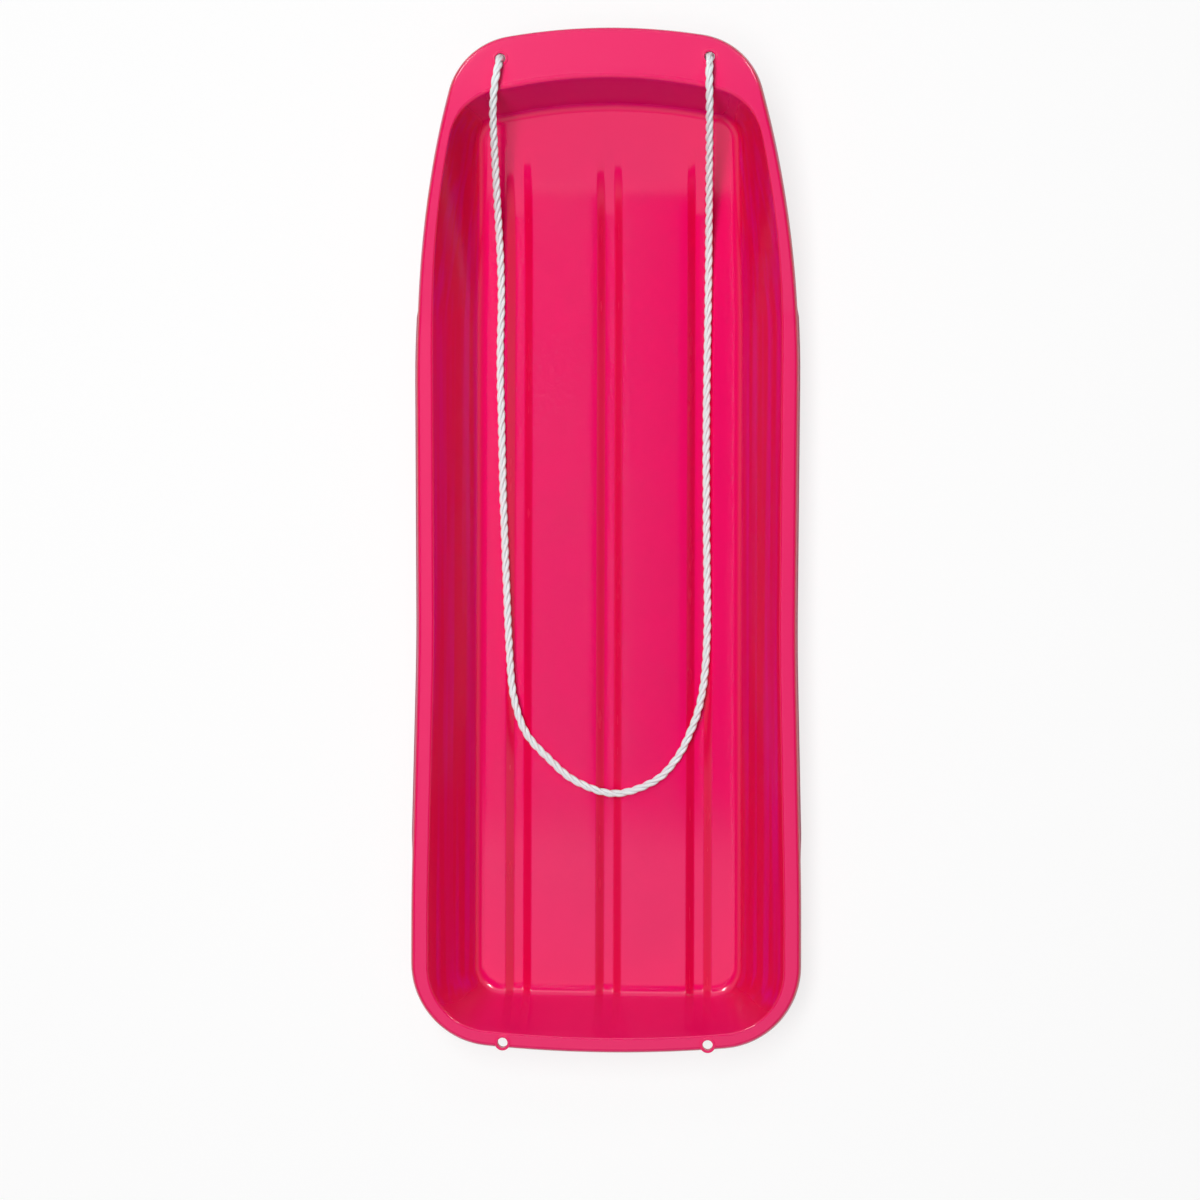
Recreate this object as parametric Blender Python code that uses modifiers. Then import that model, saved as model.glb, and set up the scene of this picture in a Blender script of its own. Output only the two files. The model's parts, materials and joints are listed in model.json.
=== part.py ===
"""A one-piece moulded toboggan with a raised nose deck, three runners and a loop of tow rope.

Metres, +Z up, +Y towards the nose, +X to the right hand side of somebody sitting in it.
The origin is on the ground, under the middle of the moulding.
"""

import math

import bmesh
import bpy
from mathutils import Vector

# Overall size of the moulding
LENGTH = 1.2192
WIDTH = 0.4699
NOSE_HEIGHT = 0.145
RIM_HEIGHT = 0.085
WALL = 0.0022

# Rim: a flat flange round the mouth of the tub, with a flared skirt turned down outside it
SIDE_FLANGE = 0.0203
NOSE_DECK = 0.0600
REAR_FLANGE = 0.0182
SKIRT_DEPTH = 0.0100
SKIRT_FLARE = 0.0026
RIM_BEND = 0.0045
LIP = 0.0016
LIP_FROM_REAR = 0.2256
LIP_FROM_NOSE = 0.3226
LIP_REAR_BLEND = 0.040
LIP_FRONT_BLEND = 0.012

# Outer outline, seen from above
REAR_CORNER = 0.100
REAR_CROWN = 1.60
NOSE_CORNER = 0.088
NOSE_CROWN = 0.720
SHOULDER = 1.20
WAIST = 3.0
WAIST_INSET = 0.0066
WAIST_FROM_REAR = 0.1896
NARROWEST_FROM_REAR = 0.4896
SHOULDER_INSET = 0.0030
SHOULDER_FROM_NOSE = 0.2480
NOSE_CORNER_INSET = 0.0643
NOSE_CORNER_BACK = 0.0185
NOSE_APEX = 0.0085
REAR_CORNER_BACK = 0.0150
REAR_APEX = 0.0055

# Mouth of the tub, at its corners
MOUTH_NOSE_CORNER = 0.078
MOUTH_REAR_CORNER = 0.082
MOUTH_CORNER_INSET = 0.0400
MOUTH_CORNER_BACK = 0.0210
MOUTH_APEX = 0.0100
MOUTH_NOSE_CROWN = 0.540

# Tub: the side walls lean out, and the floor curves up to a steep front wall
SIDE_WALL_RUN = 0.0546
REAR_WALL_RUN = 0.0425
FRONT_WALL_RUN = 0.0155
FLOOR_CORNER = 0.034
FLOOR_NOSE_CROWN = 0.81
FLOOR_FILLET = 0.018
KICK_LENGTH = 0.2896
KICK_RADIUS = 0.480

# Side view of the rim: level, then a straight ramp up to the nose deck
RAMP_FROM_NOSE = 0.3346
DECK_FROM_NOSE = 0.0946
RAMP_FOOT_BLEND = 0.012
RAMP_TOP_BLEND = 0.050

# Runners: three grooves in the floor, which stand out below it
RUNNER_DEPTH = 0.0080
RUNNER_WIDTH = 0.0316
RUNNER_FLAT = 0.0116
RUNNER_MARGIN = 0.0332
RUNNER_FADE_FROM_NOSE = 0.2096
RUNNER_END_FROM_NOSE = 0.1146

# Rope holes, each with a raised ring round it. Their distance from an end is measured beside the hole
HOLE_INSET = 0.1117
HOLE_CLEARANCE = 0.0027
HOLE_RING_WIDTH = 0.0032
HOLE_RING_HEIGHT = 0.0012
NOSE_HOLE_BACK = 0.02621
REAR_HOLE_FORWARD = 0.00693

# Tow rope
ROPE_DIAMETER = 0.0095
KNOT_DIAMETER = 0.0290
KNOT_HEIGHT = 0.0230
KNOT_SIDES = 20
KNOT_STEPS = 11
KNOT_TAIL = 0.0260
KNOT_TAIL_TILT = math.radians(35)
KNOT_TAIL_SWING = math.radians(25)
TOUCH_GAP = 0.0003
NECK_RISE = 0.00125
HINGE_SETBACK = 0.0008

# How finely the moulding is divided
CORNER_STEPS = 8
CORE_INSET = 0.0130
CORE_NOSE_INSET = 0.01165
CORNER_ROW_REAR = 0.1100
CORNER_ROW_NOSE = 0.1400
FLOOR_FILLET_STEPS = 3
BEND_STEPS = 2
FLANGE_STEPS = 3

# The most that rounded corners may take of a straight side, between two of them or from one alone
CORNER_SHARE = 0.98
BEND_SHARE = 0.45
FREE_SHARE = 0.85
STRAIGHT_ANGLE = 1e-4
MERGE_DISTANCE = 1e-5

HALF_LENGTH = LENGTH / 2
HALF_WIDTH = WIDTH / 2
FLOOR_TOP = WALL + RUNNER_DEPTH
MOUTH_HALF = HALF_WIDTH - SIDE_FLANGE
FLOOR_HALF = MOUTH_HALF - SIDE_WALL_RUN
FLOOR_REAR = -HALF_LENGTH + REAR_FLANGE + REAR_WALL_RUN
FLOOR_NOSE = HALF_LENGTH - NOSE_DECK - FRONT_WALL_RUN
RUNNER_SPACING = FLOOR_HALF - RUNNER_MARGIN - RUNNER_WIDTH / 2
RUNNER_CENTRES = (-RUNNER_SPACING, 0.0, RUNNER_SPACING)
RUNNER_FADE_START = HALF_LENGTH - RUNNER_FADE_FROM_NOSE
RUNNER_FADE_END = HALF_LENGTH - RUNNER_END_FROM_NOSE
LIP_REAR = -HALF_LENGTH + LIP_FROM_REAR
LIP_FRONT = HALF_LENGTH - LIP_FROM_NOSE
WAIST_REAR_Y = -HALF_LENGTH + WAIST_FROM_REAR
NARROWEST_Y = -HALF_LENGTH + NARROWEST_FROM_REAR
SHOULDER_Y = HALF_LENGTH - SHOULDER_FROM_NOSE
KICK_START = HALF_LENGTH - KICK_LENGTH
RAMP_START = HALF_LENGTH - RAMP_FROM_NOSE
RAMP_END = HALF_LENGTH - DECK_FROM_NOSE
ROPE_RADIUS = ROPE_DIAMETER / 2
HOLE_SPACING = WIDTH - 2 * HOLE_INSET
HOLE_DIAMETER = ROPE_DIAMETER + HOLE_CLEARANCE
HOLE_RING_DIAMETER = HOLE_DIAMETER + 2 * HOLE_RING_WIDTH
NECK_TOP = NOSE_HEIGHT + HOLE_RING_HEIGHT + NECK_RISE
HINGE_Z = NECK_TOP + TOUCH_GAP + ROPE_RADIUS

SHELL_PINK = (0.84, 0.012, 0.14, 1.0)
ROPE_WHITE = (0.86, 0.87, 0.87, 1.0)

# The rope loop as it lies in the tub, from the left hole round to the right one
ROPE_ROUTE = [
    (-0.1240, 0.5645, 0.1565),
    (-0.1262, 0.5525, 0.1590),
    (-0.1290, 0.5380, 0.1558),
    (-0.1315, 0.5200, 0.1450),
    (-0.1334, 0.4960, 0.1230),
    (-0.1346, 0.4480, 0.0795),
    (-0.1347, 0.3900, 0.0390),
    (-0.1338, 0.3450, 0.0212),
    (-0.1334, 0.2980, 0.0158),
    (-0.1347, 0.2250, 0.0154),
    (-0.1327, 0.1500, 0.0154),
    (-0.1308, 0.0700, 0.0154),
    (-0.1262, -0.0475, 0.0154),
    (-0.1217, -0.1403, 0.0154),
    (-0.1160, -0.1890, 0.0154),
    (-0.1013, -0.2293, 0.0154),
    (-0.0740, -0.2600, 0.0154),
    (-0.0400, -0.2880, 0.0154),
    (0.0080, -0.3028, 0.0154),
    (0.0560, -0.2875, 0.0154),
    (0.0840, -0.2590, 0.0154),
    (0.1003, -0.2269, 0.0154),
    (0.1117, -0.1935, 0.0152),
    (0.1180, -0.1540, 0.0142),
    (0.1210, -0.0900, 0.0134),
    (0.1198, 0.0100, 0.0129),
    (0.1191, 0.1300, 0.0127),
    (0.1200, 0.2300, 0.0131),
    (0.1210, 0.2980, 0.0160),
    (0.1215, 0.3450, 0.0212),
    (0.1219, 0.3900, 0.0390),
    (0.1224, 0.4480, 0.0795),
    (0.1230, 0.4960, 0.1230),
    (0.1232, 0.5200, 0.1450),
    (0.1230, 0.5380, 0.1558),
    (0.1230, 0.5525, 0.1590),
    (0.1231, 0.5645, 0.1565),
]
ROPE_POINTS = 74


def clear_scene():
    for leftover in list(bpy.data.objects):
        bpy.data.objects.remove(leftover, do_unlink=True)


def new_collection(name, hidden=False):
    collection = bpy.data.collections.new(name)
    bpy.context.scene.collection.children.link(collection)
    collection.hide_render = hidden
    return collection


def plastic(name, colour, roughness):
    material = bpy.data.materials.new(name)
    material.use_nodes = True
    shader = material.node_tree.nodes["Principled BSDF"]
    shader.inputs["Base Color"].default_value = colour
    shader.inputs["Roughness"].default_value = roughness
    shader.inputs["Metallic"].default_value = 0.0
    material.diffuse_color = colour
    return material


def add_object(name, data, collection, material=None):
    thing = bpy.data.objects.new(name, data)
    collection.objects.link(thing)
    if material is not None:
        data.materials.append(material)
    return thing


def trim_length(before, corner, after, radius):
    """How far an arc of a given radius eats into the two sides of a corner."""
    turn = math.pi - (before - corner).angle(after - corner)
    return radius * math.tan(turn / 2)


def arc_points(before, corner, after, trim, steps):
    """Points of the arc that rounds a corner and starts and ends a trim length from it."""
    to_before = (before - corner).normalized()
    to_after = (after - corner).normalized()
    half_turn = (math.pi - to_before.angle(to_after)) / 2
    if half_turn < STRAIGHT_ANGLE:
        return [corner.copy()]
    start = corner + to_before * trim
    end = corner + to_after * trim
    centre = corner + (to_before + to_after).normalized() * (trim / math.sin(half_turn))
    radius = (start - centre).length
    points = []
    for step in range(steps + 1):
        turned = (start - centre).normalized().slerp((end - centre).normalized(), step / steps)
        points.append(centre + turned * radius)
    return points


def fillet(before, corner, after, radius, steps, share_before=BEND_SHARE):
    """The arc that rounds a corner of a section, no longer than a share of each side."""
    trim = trim_length(before, corner, after, radius)
    trim = min(trim, share_before * (before - corner).length, BEND_SHARE * (after - corner).length)
    return arc_points(before, corner, after, trim, steps)


def half_outline(corners, rear, nose, steps=24):
    """The right half of an outline, from the rear centre to the nose centre.

    Each corner is (x, y, radius). The first and last lie on the centre line and round a crown,
    and the path is fitted between the rear and nose positions.
    """
    places = [Vector((x, y, 0)) for x, y, radius in corners]
    mirrored_first = Vector((-places[1].x, places[1].y, 0))
    mirrored_last = Vector((-places[-2].x, places[-2].y, 0))
    around = [mirrored_first] + places + [mirrored_last]
    wanted = []
    for index, (x, y, radius) in enumerate(corners):
        wanted.append(trim_length(around[index], places[index], around[index + 2], radius))
    trims = list(wanted)
    for index in range(len(places) - 1):
        side = (places[index + 1] - places[index]).length
        both = wanted[index] + wanted[index + 1]
        share = min(1.0, CORNER_SHARE * side / both) if both else 1.0
        trims[index] = min(trims[index], wanted[index] * share)
        trims[index + 1] = min(trims[index + 1], wanted[index + 1] * share)
    path = []
    for index, trim in enumerate(trims):
        arc = arc_points(around[index], places[index], around[index + 2], trim, steps)
        path.extend(point for point in arc if point.x > -1e-6)
    stretched = (nose - rear) / (path[-1].y - path[0].y)
    first_y = path[0].y
    return [Vector((point.x, rear + (point.y - first_y) * stretched, 0)) for point in path]


def crossing(path, axis, value):
    """Where a path first passes a value of x or y."""
    for first, second in zip(path, path[1:]):
        low, high = sorted((first[axis], second[axis]))
        if low <= value <= high and high > low:
            share = (value - first[axis]) / (second[axis] - first[axis])
            return first.lerp(second, share)
    raise ValueError(f"the outline doesn't reach {value}")


def stretch(path, start, end, count):
    """Evenly spaced points along a path, strictly between two of its points."""
    begin = min(range(len(path)), key=lambda index: (path[index] - start).length)
    finish = min(range(len(path)), key=lambda index: (path[index] - end).length)
    part = [start] + path[begin + 1 : finish] + [end]
    lengths = [0.0]
    for first, second in zip(part, part[1:]):
        lengths.append(lengths[-1] + (second - first).length)
    points = []
    for step in range(1, count):
        wanted = lengths[-1] * step / count
        index = next(i for i in range(1, len(part)) if lengths[i] >= wanted)
        share = (wanted - lengths[index - 1]) / (lengths[index] - lengths[index - 1])
        points.append(part[index - 1].lerp(part[index], share))
    return points


def spread(keys, counts):
    """Key positions with equal steps between them."""
    values = [keys[0]]
    for start, end, count in zip(keys, keys[1:], counts):
        values.extend(start + (end - start) * step / count for step in range(1, count + 1))
    return values


def softened_step(run, blend):
    """Zero before a bend and equal to run after it, with a parabola across the bend."""
    if run <= -blend:
        return 0.0
    if run >= blend:
        return run
    return (run + blend) ** 2 / (4 * blend)


def rim_height(y):
    slope = (NOSE_HEIGHT - RIM_HEIGHT) / (RAMP_END - RAMP_START)
    risen = softened_step(y - RAMP_START, RAMP_FOOT_BLEND) - softened_step(y - RAMP_END, RAMP_TOP_BLEND)
    return RIM_HEIGHT + slope * risen


def floor_height(y):
    along = max(0.0, y - KICK_START)
    return FLOOR_TOP + KICK_RADIUS - math.sqrt(KICK_RADIUS**2 - along**2)


def smooth(value):
    value = min(1.0, max(0.0, value))
    return value * value * (3 - 2 * value)


def groove_depth(x, y):
    off = min(abs(x - centre) for centre in RUNNER_CENTRES)
    side = (RUNNER_WIDTH - RUNNER_FLAT) / 2
    across = min(1.0, max(0.0, (RUNNER_WIDTH / 2 - off) / side))
    along = 1 - smooth((y - RUNNER_FADE_START) / (RUNNER_FADE_END - RUNNER_FADE_START))
    return RUNNER_DEPTH * across * along


def lip_share(y):
    """One where the side lip stands out, zero beyond its ends."""
    rear = smooth((y - LIP_REAR) / LIP_REAR_BLEND)
    front = smooth((LIP_FRONT - y) / LIP_FRONT_BLEND)
    return min(rear, front)


def outer_outline(inset):
    side = HALF_WIDTH - inset
    rear = -HALF_LENGTH + inset
    nose = HALF_LENGTH - inset
    corners = [
        (0.0, rear - REAR_APEX, REAR_CROWN),
        (side, rear + REAR_CORNER_BACK, REAR_CORNER),
        (side, WAIST_REAR_Y, WAIST),
        (side - WAIST_INSET, NARROWEST_Y, WAIST),
        (side - SHOULDER_INSET, SHOULDER_Y, SHOULDER),
        (side - NOSE_CORNER_INSET, nose - NOSE_CORNER_BACK, NOSE_CORNER),
        (0.0, nose + NOSE_APEX, NOSE_CROWN),
    ]
    return half_outline(corners, rear, nose)


def mouth_outline():
    nose = HALF_LENGTH - NOSE_DECK
    rear = -HALF_LENGTH + REAR_FLANGE
    corners = [
        (0.0, rear - REAR_APEX, REAR_CROWN),
        (MOUTH_HALF, rear + REAR_CORNER_BACK, MOUTH_REAR_CORNER),
        (MOUTH_HALF, WAIST_REAR_Y, WAIST),
        (MOUTH_HALF - WAIST_INSET, NARROWEST_Y, WAIST),
        (MOUTH_HALF - SHOULDER_INSET, SHOULDER_Y, SHOULDER),
        (MOUTH_HALF - MOUTH_CORNER_INSET, nose - MOUTH_CORNER_BACK, MOUTH_NOSE_CORNER),
        (0.0, nose + MOUTH_APEX, MOUTH_NOSE_CROWN),
    ]
    return half_outline(corners, rear, nose)


def floor_outline():
    nose_drop = FLOOR_HALF**2 / (2 * FLOOR_NOSE_CROWN)
    corners = [
        (0.0, FLOOR_REAR, REAR_CROWN),
        (FLOOR_HALF, FLOOR_REAR, FLOOR_CORNER),
        (FLOOR_HALF, FLOOR_NOSE - nose_drop, FLOOR_CORNER),
        (0.0, FLOOR_NOSE + nose_drop, FLOOR_NOSE_CROWN),
    ]
    return half_outline(corners, FLOOR_REAR, FLOOR_NOSE)


def grid_lines():
    """The columns and rows of the floor's core, with their corner parts first and last."""
    core_half = FLOOR_HALF - CORE_INSET
    groove_edges = []
    for centre in RUNNER_CENTRES:
        for off in (-RUNNER_WIDTH / 2, -RUNNER_FLAT / 2, RUNNER_FLAT / 2, RUNNER_WIDTH / 2):
            groove_edges.append(centre + off)
    corner = CORNER_STEPS // 2
    outer = groove_edges[-1]
    edge_columns = spread([outer, core_half], [corner])[1:]
    columns = [-x for x in reversed(edge_columns)] + groove_edges + edge_columns
    rear = FLOOR_REAR + CORE_INSET
    nose = FLOOR_NOSE - core_half**2 / (2 * FLOOR_NOSE_CROWN) - CORE_NOSE_INSET
    keys = [
        rear,
        -HALF_LENGTH + CORNER_ROW_REAR,
        LIP_REAR,
        LIP_REAR + LIP_REAR_BLEND,
        RAMP_START - RAMP_FOOT_BLEND,
        LIP_FRONT,
        KICK_START,
        HALF_LENGTH - CORNER_ROW_NOSE,
        nose,
    ]
    rows = spread(keys, [corner, 1, 2, 5, 2, 1, 5, corner])
    return columns, rows


def spokes(path, columns, rows):
    """Where each spoke of the moulding meets an outline, anticlockwise from the rear left."""
    corner = CORNER_STEPS // 2
    inner_columns = columns[corner:-corner]
    inner_rows = rows[corner:-corner]
    backwards = list(reversed(path))
    rear = [crossing(path, 0, abs(x)) for x in inner_columns]
    nose = [crossing(backwards, 0, abs(x)) for x in inner_columns]
    side = [crossing(path, 1, y) for y in inner_rows]
    rear_corner = stretch(path, rear[-1], side[0], CORNER_STEPS)
    nose_corner = stretch(path, side[-1], nose[-1], CORNER_STEPS)
    right_side = rear_corner + side + nose_corner
    rear_row = [Vector((x, point.y, 0)) for x, point in zip(inner_columns, rear)]
    nose_row = [Vector((x, point.y, 0)) for x, point in zip(inner_columns, nose)]
    left_side = [Vector((-point.x, point.y, 0)) for point in reversed(right_side)]
    return rear_row + right_side + list(reversed(nose_row)) + left_side


def core_spokes(columns, rows):
    """The core's own border, in the same order as spokes()."""
    corner = CORNER_STEPS // 2
    last_column = len(columns) - 1
    last_row = len(rows) - 1
    rear = [(column, 0) for column in range(corner, last_column)]
    right = [(last_column, row) for row in range(last_row)]
    nose = [(column, last_row) for column in range(last_column, 0, -1)]
    left = [(0, row) for row in range(last_row, 0, -1)]
    rest = [(column, 0) for column in range(corner)]
    return rear + right + nose + left + rest


def flange_points(mouth, brow):
    """Points across the rim, each at the rim's own height there."""
    points = []
    for step in range(1, FLANGE_STEPS):
        point = mouth.lerp(brow, step / FLANGE_STEPS)
        point.z = rim_height(point.y)
        points.append(point)
    return points


def section_rings():
    """Every ring of the moulding from the floor's edge to the lip, as lists of points."""
    columns, rows = grid_lines()
    border = [Vector((columns[column], rows[row], 0)) for column, row in core_spokes(columns, rows)]
    floor_edge = spokes(floor_outline(), columns, rows)
    mouth_edge = spokes(mouth_outline(), columns, rows)
    flange_edge = spokes(outer_outline(SKIRT_FLARE), columns, rows)
    skirt_edge = spokes(outer_outline(0), columns, rows)
    sections = []
    for index, core_point in enumerate(border):
        foot = floor_edge[index]
        groove = groove_depth(foot.x, foot.y)
        core_groove = groove_depth(core_point.x, core_point.y)
        core = core_point + Vector((0, 0, floor_height(core_point.y) - core_groove))
        foot = foot + Vector((0, 0, floor_height(foot.y) - groove))
        mouth = mouth_edge[index] + Vector((0, 0, rim_height(mouth_edge[index].y)))
        brow = flange_edge[index] + Vector((0, 0, rim_height(flange_edge[index].y)))
        hem_height = rim_height(skirt_edge[index].y) - SKIRT_DEPTH + LIP
        hem = skirt_edge[index] + Vector((0, 0, hem_height))
        outward = (skirt_edge[index] - flange_edge[index]).normalized()
        lip = hem + outward * LIP * lip_share(hem.y) + Vector((0, 0, -LIP))
        flange = flange_points(mouth, brow)
        section = fillet(core, foot, mouth, FLOOR_FILLET, FLOOR_FILLET_STEPS, FREE_SHARE)
        section += fillet(foot, mouth, flange[0], RIM_BEND, BEND_STEPS)
        section += flange
        section += fillet(flange[-1], brow, hem, RIM_BEND, BEND_STEPS, FREE_SHARE)
        section += [hem, lip]
        sections.append(section)
    return [list(ring) for ring in zip(*sections)]


def extrude_ring(mesh, ring, places):
    """Extrudes a closed ring of vertices to new places and returns the new ring."""
    edges = []
    for first, second in zip(ring, ring[1:] + ring[:1]):
        edges.append(next(edge for edge in first.link_edges if edge.other_vert(first) == second))
    made = bmesh.ops.extrude_edge_only(mesh, edges=edges)["geom"]
    new_vertices = {item for item in made if isinstance(item, bmesh.types.BMVert)}
    following = []
    for vertex, place in zip(ring, places):
        ends = [edge.other_vert(vertex) for edge in vertex.link_edges]
        partner = next(end for end in ends if end in new_vertices)
        partner.co = place
        following.append(partner)
    return following


def shell_surface():
    """The moulding's upper and outer surface as one open sheet."""
    columns, rows = grid_lines()
    mesh = bmesh.new()
    bmesh.ops.create_grid(mesh, x_segments=len(columns) - 1, y_segments=len(rows) - 1, size=1.0)
    ordered = sorted(mesh.verts, key=lambda vertex: (round(vertex.co.y, 4), round(vertex.co.x, 4)))
    for index, vertex in enumerate(ordered):
        x = columns[index % len(columns)]
        y = rows[index // len(columns)]
        vertex.co = (x, y, floor_height(y) - groove_depth(x, y))
    ring = [ordered[row * len(columns) + column] for column, row in core_spokes(columns, rows)]
    for places in section_rings():
        ring = extrude_ring(mesh, ring, places)
    bmesh.ops.recalc_face_normals(mesh, faces=mesh.faces)
    middle = min(mesh.faces, key=lambda face: face.calc_center_median().length)
    if middle.normal.z < 0:
        bmesh.ops.reverse_faces(mesh, faces=mesh.faces)
    data = bpy.data.meshes.new("hull")
    mesh.to_mesh(data)
    mesh.free()
    return data


def add_cylinder(name, place, radius, low, high, collection):
    mesh = bmesh.new()
    bmesh.ops.create_cone(
        mesh, cap_ends=True, segments=32, radius1=radius, radius2=radius, depth=high - low
    )
    data = bpy.data.meshes.new(name)
    mesh.to_mesh(data)
    mesh.free()
    cylinder = add_object(name, data, collection)
    cylinder.location = (place[0], place[1], (low + high) / 2)
    cylinder.hide_render = True
    cylinder.display_type = "WIRE"
    return cylinder


def combine(target, tool, operation):
    boolean = target.modifiers.new(f"{operation.lower()} {tool.name}", "BOOLEAN")
    boolean.operation = operation
    boolean.solver = "EXACT"
    boolean.object = tool


def hole_rows():
    """How far along the moulding the rear and the nose holes are."""
    outline = outer_outline(0)
    rear_edge = crossing(outline, 0, HOLE_SPACING / 2).y
    nose_edge = crossing(list(reversed(outline)), 0, HOLE_SPACING / 2).y
    return rear_edge + REAR_HOLE_FORWARD, nose_edge - NOSE_HOLE_BACK


def make_hull(rear_hole_y, nose_hole_y, parts, cutters, material):
    hull = add_object("hull", shell_surface(), parts, material)
    solidify = hull.modifiers.new("wall", "SOLIDIFY")
    solidify.thickness = WALL
    solidify.offset = -1
    solidify.use_even_offset = True
    hull.data.shade_smooth()
    hull.data.set_sharp_from_angle(angle=math.radians(40))
    bores = []
    for end, hole_y, top, depth in (
        ("nose", nose_hole_y, NOSE_HEIGHT, WALL / 2),
        ("rear", rear_hole_y, RIM_HEIGHT, SKIRT_DEPTH),
    ):
        for side, sign in (("left", -1), ("right", 1)):
            place = (sign * HOLE_SPACING / 2, hole_y)
            ring_top = top + HOLE_RING_HEIGHT
            ring = add_cylinder(
                f"{end}_{side}_ring", place, HOLE_RING_DIAMETER / 2, top - depth, ring_top, cutters
            )
            combine(hull, ring, "UNION")
            bore_low = top - 2 * SKIRT_DEPTH
            bore_high = ring_top + HOLE_RING_HEIGHT
            bores.append(
                add_cylinder(f"{end}_{side}_bore", place, HOLE_DIAMETER / 2, bore_low, bore_high, cutters)
            )
    for bore in bores:
        combine(hull, bore, "DIFFERENCE")
    return hull


def smooth_curve(points, steps=12):
    """A smooth curve through every given point."""
    ends = [2 * points[0] - points[1]] + points + [2 * points[-1] - points[-2]]
    curve = []
    for index in range(1, len(ends) - 2):
        before, start, end, after = ends[index - 1 : index + 3]
        for step in range(steps):
            t = step / steps
            bend = 2 * before - 5 * start + 4 * end - after
            twist = 3 * start - before - 3 * end + after
            curve.append(0.5 * (2 * start + (end - before) * t + bend * t**2 + twist * t**3))
    curve.append(points[-1])
    return curve


def evenly(curve, count):
    """Points at equal steps along a curve."""
    lengths = [0.0]
    for first, second in zip(curve, curve[1:]):
        lengths.append(lengths[-1] + (second - first).length)
    points = []
    index = 1
    for step in range(count):
        wanted = lengths[-1] * step / (count - 1)
        while index < len(curve) - 1 and lengths[index] < wanted:
            index += 1
        share = (wanted - lengths[index - 1]) / (lengths[index] - lengths[index - 1])
        points.append(curve[index - 1].lerp(curve[index], min(1.0, share)))
    return points, lengths[-1]


def dome(point, outward):
    """Extra points past a rope's end that round it off, each with its share of the radius."""
    extra = []
    for degrees in (35, 62, 82):
        angle = math.radians(degrees)
        extra.append((point + outward * ROPE_RADIUS * math.sin(angle), math.cos(angle)))
    return extra


def add_tube(name, points, collection, material, round_start=False, round_end=False):
    places = [(point, 1.0) for point in points]
    if round_start:
        outward = (points[0] - points[1]).normalized()
        places = list(reversed(dome(points[0], outward))) + places
    if round_end:
        outward = (points[-1] - points[-2]).normalized()
        places = places + dome(points[-1], outward)
    data = bpy.data.curves.new(name, "CURVE")
    data.dimensions = "3D"
    data.bevel_depth = ROPE_RADIUS
    data.bevel_resolution = 2
    data.use_fill_caps = True
    spline = data.splines.new("POLY")
    spline.points.add(len(places) - 1)
    for item, (place, share) in zip(spline.points, places):
        item.co = (*place, 1.0)
        item.radius = share
    return add_object(name, data, collection, material)


def make_rope(nose_hole_y, parts, material):
    """The loop, which swings about the line through the two nose holes."""
    hinge_y = nose_hole_y - HINGE_SETBACK
    left = Vector((-HOLE_SPACING / 2, hinge_y, HINGE_Z))
    right = Vector((HOLE_SPACING / 2, hinge_y, HINGE_Z))
    route = [left] + [Vector(point) for point in ROPE_ROUTE] + [right]
    points, length = evenly(smooth_curve(route), ROPE_POINTS)
    print(f"tow rope between its hinges: {length:.4f} m")
    pivot = bpy.data.objects.new("rope_pivot", None)
    parts.objects.link(pivot)
    pivot.location = (0, hinge_y, HINGE_Z)
    local = [point - pivot.location for point in points]
    rope = add_tube("tow_rope", local, parts, material, round_start=True, round_end=True)
    rope.parent = pivot


def tube_mesh(tube, collection):
    """A tube curve turned into a mesh with closed ends, for a Boolean."""
    bpy.context.view_layer.update()
    evaluated = tube.evaluated_get(bpy.context.evaluated_depsgraph_get())
    data = bpy.data.meshes.new_from_object(evaluated)
    mesh = bmesh.new()
    mesh.from_mesh(data)
    bmesh.ops.remove_doubles(mesh, verts=mesh.verts, dist=MERGE_DISTANCE)
    mesh.to_mesh(data)
    mesh.free()
    name = tube.name
    matrix = tube.matrix_world.copy()
    bpy.data.objects.remove(tube, do_unlink=True)
    solid = add_object(name, data, collection)
    solid.matrix_world = matrix
    solid.hide_render = True
    solid.display_type = "WIRE"
    return solid


def knot_profile(neck_top):
    """Half the section of a knot and its neck, from the neck's top to the knot's lowest point."""
    start = math.asin(ROPE_DIAMETER / KNOT_DIAMETER)
    points = [(0.0, 0.0, neck_top), (ROPE_RADIUS, 0.0, neck_top)]
    for step in range(KNOT_STEPS + 1):
        angle = start + (math.pi - start) * step / KNOT_STEPS
        points.append((KNOT_DIAMETER / 2 * math.sin(angle), 0.0, KNOT_HEIGHT / 2 * math.cos(angle)))
    return points


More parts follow.
